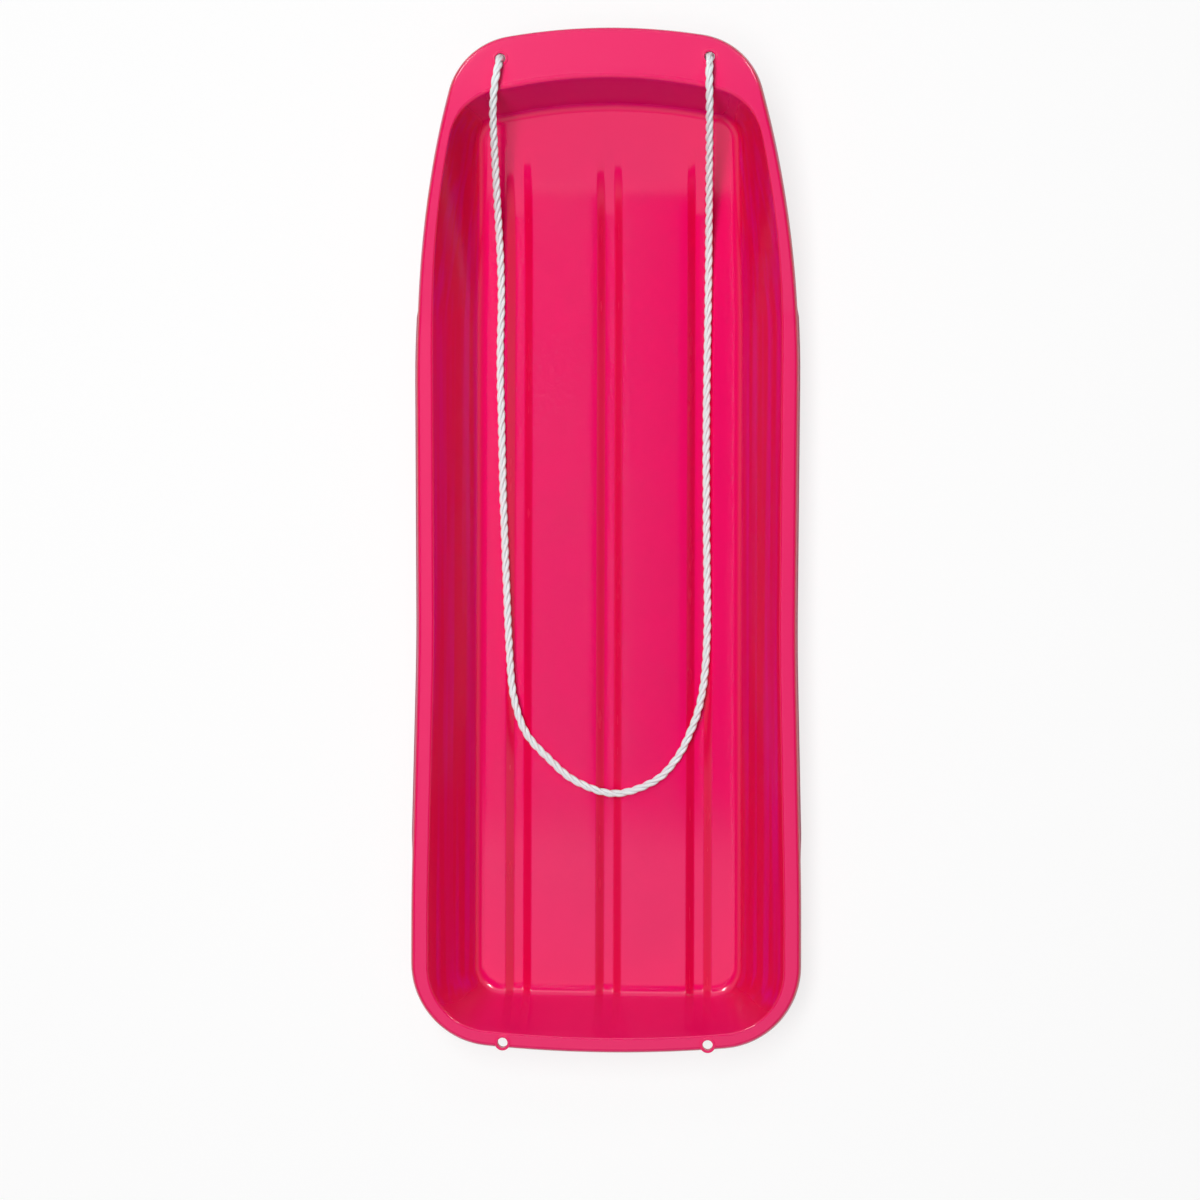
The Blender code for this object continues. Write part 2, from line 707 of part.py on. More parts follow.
def make_knot(side, sign, nose_hole_y, parts, cutters, material):
    """A stopper knot under the nose deck, with the short stretch that goes up through the hole.

    Its shoulder is drawn up against the hole's lower edge.
    """
    shoulder = KNOT_HEIGHT / 2 * math.sqrt(1 - (HOLE_DIAMETER / KNOT_DIAMETER) ** 2)
    middle_z = NOSE_HEIGHT - WALL - TOUCH_GAP - shoulder
    middle = Vector((sign * HOLE_SPACING / 2, nose_hole_y, middle_z))
    points = knot_profile(NECK_TOP - middle_z)
    data = bpy.data.meshes.new(f"{side}_knot")
    data.from_pydata(points, [(index, index + 1) for index in range(len(points) - 1)], [])
    knot = add_object(f"{side}_knot", data, parts, material)
    knot.location = middle
    turned = knot.modifiers.new("turned", "SCREW")
    turned.steps = KNOT_SIDES
    turned.render_steps = KNOT_SIDES
    turned.use_merge_vertices = True
    turned.merge_threshold = MERGE_DISTANCE
    sideways = math.sin(KNOT_TAIL_TILT) * math.cos(KNOT_TAIL_SWING)
    forwards = math.sin(KNOT_TAIL_TILT) * math.sin(KNOT_TAIL_SWING)
    tail_way = Vector((-sign * sideways, forwards, -math.cos(KNOT_TAIL_TILT)))
    tail_end = middle + tail_way * (KNOT_HEIGHT / 2 + KNOT_TAIL - ROPE_DIAMETER)
    tail = add_tube(f"{side}_tail", [middle, tail_end], cutters, material, round_end=True)
    combine(knot, tube_mesh(tail, cutters), "UNION")


def main():
    clear_scene()
    parts = new_collection("toboggan")
    cutters = new_collection("cutters", hidden=True)
    rear_hole_y, nose_hole_y = hole_rows()
    make_hull(rear_hole_y, nose_hole_y, parts, cutters, plastic("pink_polyethylene", SHELL_PINK, 0.2))
    make_rope(nose_hole_y, parts, plastic("white_rope", ROPE_WHITE, 0.6))
    for side, sign in (("left", -1), ("right", 1)):
        rope_white = plastic(f"{side}_knot_rope", ROPE_WHITE, 0.6)
        make_knot(side, sign, nose_hole_y, parts, cutters, rope_white)


main()
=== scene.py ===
"""A glossy one-piece moulded toboggan with a laid tow rope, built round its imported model.

Metres, +Z up, +Y towards the nose, +X to the right hand side of somebody sitting in it.
"""

import json
import math

import bmesh
import bpy
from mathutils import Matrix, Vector

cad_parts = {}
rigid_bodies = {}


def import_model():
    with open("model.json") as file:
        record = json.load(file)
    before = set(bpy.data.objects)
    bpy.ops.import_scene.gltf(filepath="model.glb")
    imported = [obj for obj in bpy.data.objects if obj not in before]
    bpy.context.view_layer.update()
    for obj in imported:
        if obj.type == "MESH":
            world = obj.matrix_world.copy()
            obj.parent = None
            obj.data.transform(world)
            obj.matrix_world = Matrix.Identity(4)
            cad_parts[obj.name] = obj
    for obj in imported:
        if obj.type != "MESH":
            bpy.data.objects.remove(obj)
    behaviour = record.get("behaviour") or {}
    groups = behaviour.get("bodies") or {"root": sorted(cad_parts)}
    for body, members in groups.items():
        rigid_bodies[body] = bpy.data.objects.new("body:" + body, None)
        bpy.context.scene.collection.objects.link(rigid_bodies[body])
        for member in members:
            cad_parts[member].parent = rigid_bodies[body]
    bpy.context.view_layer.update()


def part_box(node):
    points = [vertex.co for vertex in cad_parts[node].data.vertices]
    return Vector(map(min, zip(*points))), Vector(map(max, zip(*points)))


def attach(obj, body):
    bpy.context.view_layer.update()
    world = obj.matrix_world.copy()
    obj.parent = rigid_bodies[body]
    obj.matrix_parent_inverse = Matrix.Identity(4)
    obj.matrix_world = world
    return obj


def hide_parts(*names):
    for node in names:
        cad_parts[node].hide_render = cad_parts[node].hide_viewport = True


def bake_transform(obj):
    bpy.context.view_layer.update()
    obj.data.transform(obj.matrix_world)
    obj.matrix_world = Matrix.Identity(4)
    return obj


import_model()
HULL_LOW, HULL_HIGH = (Vector(corner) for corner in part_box("hull"))

bl_info = {
    "name": "Moulded Toboggan",
    "version": (1, 0, 0),
    "blender": (4, 5, 0),
    "location": "3D View > Sidebar > Toboggan",
    "description": "Builds a glossy one-piece toboggan, its laid tow rope and a plain studio",
    "category": "Add Mesh",
}

MM = 0.001

# Rim: a flat flange with a flared skirt turned down outside it, and a lip along the trimmed sides
SKIRT_FLARE = 0.0026
LIP = 0.0016
LIP_FROM_REAR, LIP_FROM_NOSE = 0.2256, 0.3226
LIP_REAR_BLEND, LIP_FRONT_BLEND = 0.040, 0.012

# Outlines of the sled and of the tub's mouth, seen from above. They share all but their corners:
# the rear corner's radius, the nose corner's inset, setback and radius, the nose's apex and crown
REAR_CROWN, REAR_CORNER_BACK, REAR_APEX = 1.60, 0.0150, 0.0055
SHOULDER, WAIST, WAIST_INSET = 1.20, 3.0, 0.0066
WAIST_FROM_REAR, NARROWEST_FROM_REAR = 0.1896, 0.4896
SHOULDER_INSET, SHOULDER_FROM_NOSE = 0.0030, 0.2480
SLED_CORNERS = (0.100, 0.0643, 0.0185, 0.088, 0.0085, 0.720)
MOUTH_CORNERS = (0.082, 0.0400, 0.0210, 0.078, 0.0100, 0.540)

# Tub: the side walls lean out, and the floor curves up to a steep front wall
SIDE_WALL_RUN, REAR_WALL_RUN, FRONT_WALL_RUN = 0.0546, 0.0425, 0.0155
FLOOR_CORNER, FLOOR_NOSE_CROWN, FLOOR_FILLET = 0.034, 0.81, 0.018
KICK_LENGTH, KICK_RADIUS = 0.2896, 0.480

# Side view of the rim: level, then a straight ramp up to the nose deck
RAMP_FROM_NOSE, DECK_FROM_NOSE = 0.3346, 0.0946
RAMP_FOOT_BLEND, RAMP_TOP_BLEND = 0.012, 0.050

# Grooves in the floor, which are the runners underneath
GROOVE_MARGIN, GROOVE_EASE = 0.0332, 0.0012
GROOVE_FADE_FROM_NOSE, GROOVE_END_FROM_NOSE = 0.2096, 0.1146

# Rope holes. Their distance from an end is measured beside the hole
NOSE_HOLE_BACK, REAR_HOLE_FORWARD = 0.02621, 0.00693
RING_ROUNDING, HOLE_CHAMFER = 0.0009, 0.0007
HOLE_SIDES = 56

# How far the skirt's cut edges are broken, and the fewest faces that a whole shell can have
HEM_BREAK = 0.0006
FEWEST_FACES = 20000

# Below the flat of the rim its grain fades out. The dull colour of the trimmed edge starts above
# the hem and outside the mouth. Each start has the distance over which the mark changes
GRAIN_FROM, GRAIN_FADE = 0.00002, 0.00012
TRIM_ABOVE_HEM, TRIM_FADE = 0.0012, 0.0010
TRIM_OUTSIDE, TRIM_SIDE_FADE = 0.008, 0.002

# Where the steep walls and the sides of the grooves get a darker, redder painted shade. A slope is the
# sideways part of the surface's direction, and the front wall counts only past the slope of the rising
# floor in front of it
STEEP_SHADE_FROM, STEEP_SHADE_TO = 0.05, 0.80
FLOOR_SLOPE, FRONT_SHARE = 0.42, 1.3
# The front wall gets a painted shade that is darker and bluer than the other walls, for its shade and
# a bluish reflection, and this is how far towards the rear it has to face
FRONT_FROM, FRONT_TO = 0.60, 0.90

# How finely the moulding is divided
CORNER_STEPS = 28
CORE_INSET, CORE_NOSE_INSET = 0.0200, 0.0190
CORNER_ROW_REAR, CORNER_ROW_NOSE = 0.0920, 0.1226
OUTLINE_STEPS = 96
FILLET_STEPS, WALL_STEPS, BEND_STEPS, FLANGE_STEPS, SKIRT_STEPS = 9, 7, 6, 6, 3
CORNER_SHARE, BEND_SHARE, FREE_SHARE = 0.98, 0.45, 0.85
STRAIGHT_ANGLE = 1e-4

# The rope's loop as it lies in the tub, between the two nose holes
LOOP_ROUTE = [
    (-0.1262, 0.5525, 0.1590),
    (-0.1290, 0.5380, 0.1558),
    (-0.1315, 0.5200, 0.1450),
    (-0.1334, 0.4960, 0.1230),
    (-0.1346, 0.4480, 0.0795),
    (-0.1347, 0.3900, 0.0390),
    (-0.1338, 0.3450, 0.0212),
    (-0.1334, 0.2980, 0.0158),
    (-0.1347, 0.2250, 0.0154),
    (-0.1327, 0.1500, 0.0154),
    (-0.1308, 0.0700, 0.0154),
    (-0.1262, -0.0475, 0.0154),
    (-0.1217, -0.1403, 0.0154),
    (-0.1160, -0.1890, 0.0154),
    (-0.1013, -0.2293, 0.0154),
    (-0.0740, -0.2600, 0.0154),
    (-0.0400, -0.2880, 0.0154),
    (0.0080, -0.3028, 0.0154),
    (0.0560, -0.2875, 0.0154),
    (0.0840, -0.2590, 0.0154),
    (0.1003, -0.2269, 0.0154),
    (0.1117, -0.1935, 0.0152),
    (0.1180, -0.1540, 0.0142),
    (0.1210, -0.0900, 0.0134),
    (0.1198, 0.0100, 0.0129),
    (0.1191, 0.1300, 0.0127),
    (0.1200, 0.2300, 0.0131),
    (0.1210, 0.2980, 0.0160),
    (0.1215, 0.3450, 0.0212),
    (0.1219, 0.3900, 0.0390),
    (0.1224, 0.4480, 0.0795),
    (0.1230, 0.4960, 0.1230),
    (0.1232, 0.5200, 0.1450),
    (0.1230, 0.5380, 0.1558),
    (0.1230, 0.5525, 0.1590),
]
# The rope turns from upright in its nose hole to its slope back into the tub. It starts a little
# in front of the hole's middle and moves a little outwards as it turns
RISE_RADIUS = 0.019
RISE_FOOT, RISE_FORWARD, RISE_SPREAD = 0.1385, 0.0013, 0.0006
RISE_TURNS = (0, 15, 30, 45, 60)

# The strands wander and swell a little, so that the rope doesn't look machined
WANDER, WANDER_RATE = 0.02, 61.0
SWELL, SWELL_RATE = 0.015, 0.9
# The length in which a yarn goes once round its strand
YARN_TURN = 0.030
# A fused end narrows, to the root of this share, and its strands come this far together
FUSED_LEAST, FUSED_PULL = 0.04, 0.5

# The left overhand knot drawn tight under the deck, and its tail, in millimetres from the place
# where the hole's axis meets the deck's underside
KNOT_ROUTE = [
    (0.0, 1.2, -3.8),
    (0.0, 0.4, -7.2),
    (-1.9, 1.1, -10.9),
    (-3.4, 4.4, -14.3),
    (-1.9, 7.7, -17.7),
    (1.8, 8.9, -20.8),
    (6.0, 7.6, -22.9),
    (9.4, 4.1, -23.5),
    (10.6, -0.6, -22.9),
    (9.3, -4.9, -21.0),
    (6.2, -7.5, -18.2),
    (2.3, -7.8, -15.2),
    (-1.6, -7.8, -12.2),
    (-5.4, -6.9, -9.2),
    (-8.0, -3.6, -6.6),
    (-8.5, 1.0, -5.2),
    (-6.5, 5.5, -5.0),
    (-2.6, 8.3, -6.1),
    (1.6, 8.8, -8.6),
    (4.7, 6.7, -11.9),
    (5.2, 3.2, -15.3),
    (3.0, 0.6, -18.8),
    (1.8, -0.1, -23.6),
    (3.1, 0.4, -28.5),
    (5.6, 1.5, -33.2),
    (8.8, 2.9, -37.6),
    (12.4, 4.4, -41.6),
]

# Where the camera stands along the sled, the middle of its picture, and its roll in degrees
CAMERA_Y, PICTURE_X, CAMERA_ROLL = -0.0648, -0.0071, 0.15
PAPER_SIZE, PAPER_BELOW = 80.0, 0.0003


def linear(hex_colour):
    """An sRGB hex colour as linear red, green, blue and full alpha."""
    channels = []
    for start in (0, 2, 4):
        value = int(hex_colour[start : start + 2], 16) / 255
        channels.append(value / 12.92 if value <= 0.04045 else ((value + 0.055) / 1.055) ** 2.4)
    return (*channels, 1.0)


def length(name, description, default):
    return bpy.props.FloatProperty(
        name=name, description=description, default=default, min=0.0, unit="LENGTH", precision=4
    )


def colour(name, description, hex_colour):
    return bpy.props.FloatVectorProperty(
        name=name,
        description=description,
        default=linear(hex_colour),
        size=4,
        min=0.0,
        max=1.0,
        subtype="COLOR",
    )


class ShellSizes(bpy.types.PropertyGroup):
    """Sizes of the plastic moulding."""

    overall_length: length("Length", "Rear end to nose", HULL_HIGH.y - HULL_LOW.y)
    width: length("Width", "Across the widest part", HULL_HIGH.x - HULL_LOW.x)
    nose_height: length("Nose height", "Ground to the nose deck", 0.145)
    rim_height: length("Rim height", "Ground to the side rims", 0.085)
    wall: length("Wall", "Thickness of the plastic", 0.0022)
    side_flange: length("Side rim", "Width of the rim at the sides", 0.0203)
    nose_deck: length("Nose deck", "Width of the rim at the nose", 0.0600)
    rear_flange: length("Rear rim", "Width of the rim at the rear", 0.0182)
    rim_bend: length("Rim bend", "Radius of the bends beside the rim", 0.0045)
    skirt_depth: length("Skirt", "How far the rim is turned down", 0.0100)
    groove_depth: length("Groove depth", "Depth of the grooves", 0.0080)
    groove_width: length("Groove width", "Width of a groove at its top", 0.0316)
    groove_flat: length("Groove flat", "Width of a groove at its bottom", 0.0116)
    hole_inset: length("Hole inset", "Side of the sled to a rope hole", 0.1117)
    hole_diameter: length("Hole", "Diameter of a rope hole", 0.0122)
    ring_width: length("Ring width", "Width of the raised ring round a hole", 0.0032)
    ring_height: length("Ring height", "Height of the raised ring round a hole", 0.0012)


class RopeSizes(bpy.types.PropertyGroup):
    """Sizes of the laid rope."""

    diameter: length("Diameter", "Across all three strands", 0.0095)
    lay: length("Lay", "Length in which a strand goes once round", 0.0420)
    strand_radius: length("Strand radius", "Radius of one strand", 0.00220)
    steps_per_lay: bpy.props.IntProperty(
        name="Steps per lay", description="Rings of points in one lay", default=24, min=8, max=64
    )
    sides: bpy.props.IntProperty(
        name="Strand sides", description="Points round one strand", default=14, min=6, max=32
    )


class FinishColours(bpy.types.PropertyGroup):
    """Colours of the plastic and the rope."""

    pink: colour("Pink", "The plastic's own colour", "EE0463")
    cloud: colour("Cloud", "The slightly deeper pink of the pigment clouds", "E4045E")
    # This red is painted shade on the steep walls and the sides of the grooves, and it is also the
    # redder half of the painted reflection streaks on the high walls
    shade_red: colour("Shaded red", "The redder bands where the sheet is drawn thin", "DC0242")
    # This magenta is painted shade with a bluish painted reflection on the front wall, and it is also
    # the bluer half of the painted reflection streaks on the high walls
    shade_magenta: colour("Shaded magenta", "The bluer bands and front wall", "DA0270")
    grained: colour("Grained pink", "The paler pink of the grained rim", "EC1A66")
    trimmed: colour("Trimmed edge", "The dull cut edge of the sides", "B05468")
    rope: colour("Rope", "The rope's white fibres", "F8FBFB")
    rope_shade: colour("Rope shade", "The greyer fibres between them", "DFE9EC")


class StageSettings(bpy.types.PropertyGroup):
    """The camera and the studio."""

    camera_height: length("Camera height", "Ground to the camera", 3.0)
    camera_right: length("Camera right", "How far right of the middle the camera is", 0.150)
    lens: bpy.props.FloatProperty(
        name="Lens", description="Focal length in millimetres", default=72.99, min=10.0, unit="CAMERA"
    )
    background: colour("Background", "The floor as the camera sees it", "FFFFFF")


# Curves and outlines


def trim_length(before, corner, after, radius):
    """How far an arc of a given radius eats into the two sides of a corner."""
    turn = math.pi - (before - corner).angle(after - corner)
    return radius * math.tan(turn / 2)


def arc_points(before, corner, after, trim, steps):
    """Points of the arc that rounds a corner and starts and ends a trim length from it."""
    to_before = (before - corner).normalized()
    to_after = (after - corner).normalized()
    half_turn = (math.pi - to_before.angle(to_after)) / 2
    if half_turn < STRAIGHT_ANGLE:
        return [corner.copy() for step in range(steps + 1)]
    start = corner + to_before * trim
    end = corner + to_after * trim
    centre = corner + (to_before + to_after).normalized() * (trim / math.sin(half_turn))
    radius = (start - centre).length
    points = []
    for step in range(steps + 1):
        turned = (start - centre).normalized().slerp((end - centre).normalized(), step / steps)
        points.append(centre + turned * radius)
    return points


def fillet(before, corner, after, radius, steps, share_before=BEND_SHARE):
    """The arc that rounds a corner of a section, no longer than a share of each side."""
    trim = trim_length(before, corner, after, radius)
    trim = min(trim, share_before * (before - corner).length, BEND_SHARE * (after - corner).length)
    return arc_points(before, corner, after, trim, steps)


def half_outline(corners, rear, nose):
    """The right half of an outline, from the rear centre to the nose centre.

    Each corner is (x, y, radius). The first and last lie on the centre line and round a crown,
    and the path is fitted between the rear and nose positions.
    """
    places = [Vector((x, y, 0)) for x, y, radius in corners]
    mirrored_first = Vector((-places[1].x, places[1].y, 0))
    mirrored_last = Vector((-places[-2].x, places[-2].y, 0))
    around = [mirrored_first] + places + [mirrored_last]
    wanted = []
    for index, (x, y, radius) in enumerate(corners):
        wanted.append(trim_length(around[index], places[index], around[index + 2], radius))
    trims = list(wanted)
    for index in range(len(places) - 1):
        side = (places[index + 1] - places[index]).length
        both = wanted[index] + wanted[index + 1]
        share = min(1.0, CORNER_SHARE * side / both) if both else 1.0
        trims[index] = min(trims[index], wanted[index] * share)
        trims[index + 1] = min(trims[index + 1], wanted[index + 1] * share)
    path = []
    for index, trim in enumerate(trims):
        arc = arc_points(around[index], places[index], around[index + 2], trim, OUTLINE_STEPS)
        path.extend(point for point in arc if point.x > -1e-6)
    stretched = (nose - rear) / (path[-1].y - path[0].y)
    first_y = path[0].y
    return [Vector((point.x, rear + (point.y - first_y) * stretched, 0)) for point in path]


def crossing(path, axis, value):
    """Where a path first passes a value of x or y."""
    for first, second in zip(path, path[1:]):
        low, high = sorted((first[axis], second[axis]))
        if low <= value <= high and high > low:
            share = (value - first[axis]) / (second[axis] - first[axis])
            return first.lerp(second, share)
    raise ValueError(f"the outline doesn't reach {value}")


def stretch(path, start, end, count):
    """Evenly spaced points along a path, strictly between two of its points."""
    begin = min(range(len(path)), key=lambda index: (path[index] - start).length)
    finish = min(range(len(path)), key=lambda index: (path[index] - end).length)
    part = [start] + path[begin + 1 : finish] + [end]
    return evenly(part, count + 1)[0][1:-1]


def evenly(curve, count):
    """Points at equal steps along a curve, and the curve's length."""
    lengths = [0.0]
    for first, second in zip(curve, curve[1:]):
        lengths.append(lengths[-1] + (second - first).length)
    points = []
    index = 1
    for step in range(count):
        wanted = lengths[-1] * step / (count - 1)
        while index < len(curve) - 1 and lengths[index] < wanted:
            index += 1
        share = (wanted - lengths[index - 1]) / (lengths[index] - lengths[index - 1])
        points.append(curve[index - 1].lerp(curve[index], min(1.0, share)))
    return points, lengths[-1]


def spread(keys, counts):
    """Key positions with equal steps between them."""
    values = [keys[0]]
    for start, end, count in zip(keys, keys[1:], counts):
        values.extend(start + (end - start) * step / count for step in range(1, count + 1))
    return values


def softened_step(run, blend):
    """Zero before a bend and equal to run after it, with a parabola across the bend."""
    if run <= -blend:
        return 0.0
    if run >= blend:
        return run
    return (run + blend) ** 2 / (4 * blend)


def smooth(value):
    value = min(1.0, max(0.0, value))
    return value * value * (3 - 2 * value)


def smooth_curve(points, steps=12):
    """A smooth curve through every given point."""
    ends = [2 * points[0] - points[1]] + points + [2 * points[-1] - points[-2]]
    curve = []
    for index in range(1, len(ends) - 2):
        before, start, end, after = ends[index - 1 : index + 3]
        for step in range(steps):
            t = step / steps
            bend = 2 * before - 5 * start + 4 * end - after
            twist = 3 * start - before - 3 * end + after
            curve.append(0.5 * (2 * start + (end - before) * t + bend * t**2 + twist * t**3))
    curve.append(points[-1])
    return curve


class ShellShape:
    """Heights, outlines and sections of the moulding, worked out from its sizes."""

    def __init__(self, sizes):
        self.sizes = sizes
        self.half_length = sizes.overall_length / 2
        self.half_width = sizes.width / 2
        self.floor_top = sizes.wall + sizes.groove_depth
        self.mouth_half = self.half_width - sizes.side_flange
        self.floor_half = self.mouth_half - SIDE_WALL_RUN
        self.floor_rear = -self.half_length + sizes.rear_flange + REAR_WALL_RUN
        self.floor_nose = self.half_length - sizes.nose_deck - FRONT_WALL_RUN
        self.groove_side = (sizes.groove_width - sizes.groove_flat) / 2
        self.groove_spacing = self.floor_half - GROOVE_MARGIN - sizes.groove_width / 2
        self.fade_start = self.half_length - GROOVE_FADE_FROM_NOSE
        self.fade_end = self.half_length - GROOVE_END_FROM_NOSE
        self.kick_start = self.half_length - KICK_LENGTH
        self.ramp_start = self.half_length - RAMP_FROM_NOSE
        self.ramp_end = self.half_length - DECK_FROM_NOSE
        self.lip_rear = -self.half_length + LIP_FROM_REAR
        self.lip_front = self.half_length - LIP_FROM_NOSE
        self.hole_x = self.half_width - sizes.hole_inset

    def rim_height(self, y):
        slope = (self.sizes.nose_height - self.sizes.rim_height) / (self.ramp_end - self.ramp_start)
        risen = softened_step(y - self.ramp_start, RAMP_FOOT_BLEND)
        risen -= softened_step(y - self.ramp_end, RAMP_TOP_BLEND)
        return self.sizes.rim_height + slope * risen

    def floor_height(self, y):
        along = max(0.0, y - self.kick_start)
        return self.floor_top + KICK_RADIUS - math.sqrt(KICK_RADIUS**2 - along**2)

    def groove_depth(self, x, y):
        off = min(abs(x - centre) for centre in (-self.groove_spacing, 0.0, self.groove_spacing))
        across = softened_step(self.sizes.groove_width / 2 - off, GROOVE_EASE)
        across -= softened_step(self.sizes.groove_flat / 2 - off, GROOVE_EASE)
        along = 1 - smooth((y - self.fade_start) / (self.fade_end - self.fade_start))
        return self.sizes.groove_depth * along * across / self.groove_side

    def lip_share(self, y):
        """One where the side lip stands out, zero beyond its ends."""
        rear = smooth((y - self.lip_rear) / LIP_REAR_BLEND)
        front = smooth((self.lip_front - y) / LIP_FRONT_BLEND)
        return min(rear, front)

    def outer_outline(self, inset):
        rear = -self.half_length + inset
        nose = self.half_length - inset
        return self.waisted_outline(self.half_width - inset, rear, nose, SLED_CORNERS)

    def mouth_outline(self):
        rear = -self.half_length + self.sizes.rear_flange
        nose = self.half_length - self.sizes.nose_deck
        return self.waisted_outline(self.mouth_half, rear, nose, MOUTH_CORNERS)

    def waisted_outline(self, side, rear, nose, corner_sizes):
        """Half of an outline that narrows behind the middle and again towards the nose."""
        rear_corner, nose_inset, nose_back, nose_corner, apex, crown = corner_sizes
        corners = [
            (0.0, rear - REAR_APEX, REAR_CROWN),
            (side, rear + REAR_CORNER_BACK, rear_corner),
            (side, -self.half_length + WAIST_FROM_REAR, WAIST),
            (side - WAIST_INSET, -self.half_length + NARROWEST_FROM_REAR, WAIST),
            (side - SHOULDER_INSET, self.half_length - SHOULDER_FROM_NOSE, SHOULDER),
            (side - nose_inset, nose - nose_back, nose_corner),
            (0.0, nose + apex, crown),
        ]
        return half_outline(corners, rear, nose)

    def floor_outline(self):
        side = self.floor_half
        drop = side**2 / (2 * FLOOR_NOSE_CROWN)
        corners = [
            (0.0, self.floor_rear, REAR_CROWN),
            (side, self.floor_rear, FLOOR_CORNER),
            (side, self.floor_nose - drop, FLOOR_CORNER),
            (0.0, self.floor_nose + drop, FLOOR_NOSE_CROWN),
        ]
        return half_outline(corners, self.floor_rear, self.floor_nose)

    def hole_rows(self):
        """How far along the moulding the rear and the nose holes are."""
        outline = self.outer_outline(0)
        rear_edge = crossing(outline, 0, self.hole_x).y
        nose_edge = crossing(list(reversed(outline)), 0, self.hole_x).y
        return rear_edge + REAR_HOLE_FORWARD, nose_edge - NOSE_HOLE_BACK

    def grid_lines(self):
        """The columns and rows of the floor's core, with their corner parts first and last."""
        core_half = self.floor_half - CORE_INSET
        ease, wide, flat = GROOVE_EASE, self.sizes.groove_width / 2, self.sizes.groove_flat / 2
        offsets = spread([0, flat - ease, flat + ease, wide - ease, wide + ease], [1, 4, 2, 4])
        offsets = [-off for off in reversed(offsets[1:])] + offsets
        spacing = self.groove_spacing
        panel = spread([wide + ease, spacing - wide - ease], [8])[1:-1]
        right_half = offsets[len(offsets) // 2 :] + panel + [spacing + off for off in offsets]
        outer = right_half[-1]
        right_half += spread([outer, core_half], [CORNER_STEPS // 2])[1:]
        columns = [-x for x in reversed(right_half[1:])] + right_half
        nose = self.floor_nose - core_half**2 / (2 * FLOOR_NOSE_CROWN) - CORE_NOSE_INSET
        keys = [
            self.floor_rear + CORE_INSET,
            -self.half_length + CORNER_ROW_REAR,
            self.lip_rear,
            self.lip_rear + LIP_REAR_BLEND,
            self.ramp_start - RAMP_FOOT_BLEND,
            self.lip_front,
            self.kick_start,
            self.half_length - CORNER_ROW_NOSE,
            nose,
        ]
        rows = spread(keys, [CORNER_STEPS // 2, 20, 5, 28, 6, 3, 24, CORNER_STEPS // 2])
        return columns, rows

    def sections(self, columns, rows):
        """Every ring of the moulding from the floor's edge to the lip, as lists of points."""
        sizes = self.sizes
        border = [Vector((columns[c], rows[r], 0)) for c, r in core_spokes(columns, rows)]
        floor_edge = spokes(self.floor_outline(), columns, rows)
        mouth_edge = spokes(self.mouth_outline(), columns, rows)
        flange_edge = spokes(self.outer_outline(SKIRT_FLARE), columns, rows)
        skirt_edge = spokes(self.outer_outline(0), columns, rows)
        sections = []
        for core, foot, mouth, brow, hem in zip(
            border, floor_edge, mouth_edge, flange_edge, skirt_edge
        ):
            outward = (hem - brow).normalized()
            core.z = self.floor_height(core.y) - self.groove_depth(core.x, core.y)
            foot.z = self.floor_height(foot.y) - self.groove_depth(foot.x, foot.y)
            mouth.z = self.rim_height(mouth.y)
            brow.z = self.rim_height(brow.y)
            hem.z = self.rim_height(hem.y) - sizes.skirt_depth + LIP
            lip = hem + outward * LIP * self.lip_share(hem.y) + Vector((0, 0, -LIP))
            third = self.on_rim(mouth.lerp(brow, 1 / 3))
            two_thirds = self.on_rim(mouth.lerp(brow, 2 / 3))
            foot_arc = fillet(core, foot, mouth, FLOOR_FILLET, FILLET_STEPS, FREE_SHARE)
            mouth_arc = fillet(foot, mouth, third, sizes.rim_bend, BEND_STEPS)
            brow_arc = fillet(two_thirds, brow, hem, sizes.rim_bend, BEND_STEPS, FREE_SHARE)
            section = foot_arc + between(foot_arc[-1], mouth_arc[0], WALL_STEPS) + mouth_arc
            flange = between(mouth_arc[-1], brow_arc[0], FLANGE_STEPS)
            section += [self.on_rim(point) for point in flange] + brow_arc
            section += between(brow_arc[-1], hem, SKIRT_STEPS) + [hem, hem.lerp(lip, 0.5), lip]
            sections.append(section)
        return [list(ring) for ring in zip(*sections)]

    def on_rim(self, point):
        return Vector((point.x, point.y, self.rim_height(point.y)))


def between(start, end, steps):
    """Evenly spaced points strictly between two points."""
    return [start.lerp(end, step / steps) for step in range(1, steps)]


def spokes(path, columns, rows):
    """Where each spoke of the moulding meets an outline, anticlockwise from the rear left."""
    corner = CORNER_STEPS // 2
    inner_columns = columns[corner:-corner]
    inner_rows = rows[corner:-corner]
    backwards = list(reversed(path))
    rear = [crossing(path, 0, abs(x)) for x in inner_columns]
    nose = [crossing(backwards, 0, abs(x)) for x in inner_columns]
    side = [crossing(path, 1, y) for y in inner_rows]
    rear_corner = stretch(path, rear[-1], side[0], CORNER_STEPS)
    nose_corner = stretch(path, side[-1], nose[-1], CORNER_STEPS)
    right_side = rear_corner + side + nose_corner
    rear_row = [Vector((x, point.y, 0)) for x, point in zip(inner_columns, rear)]
    nose_row = [Vector((x, point.y, 0)) for x, point in zip(inner_columns, nose)]
    left_side = [Vector((-point.x, point.y, 0)) for point in reversed(right_side)]
    return rear_row + [point.copy() for point in right_side] + list(reversed(nose_row)) + left_side


def core_spokes(columns, rows):
    """The core's own border, in the same order as spokes()."""
    corner = CORNER_STEPS // 2
    last_column = len(columns) - 1
    last_row = len(rows) - 1
    rear = [(column, 0) for column in range(corner, last_column)]
    right = [(last_column, row) for row in range(last_row)]
    nose = [(column, last_row) for column in range(last_column, 0, -1)]
    left = [(0, row) for row in range(last_row, 0, -1)]
    rest = [(column, 0) for column in range(corner)]
    return rear + right + nose + left + rest


# Materials


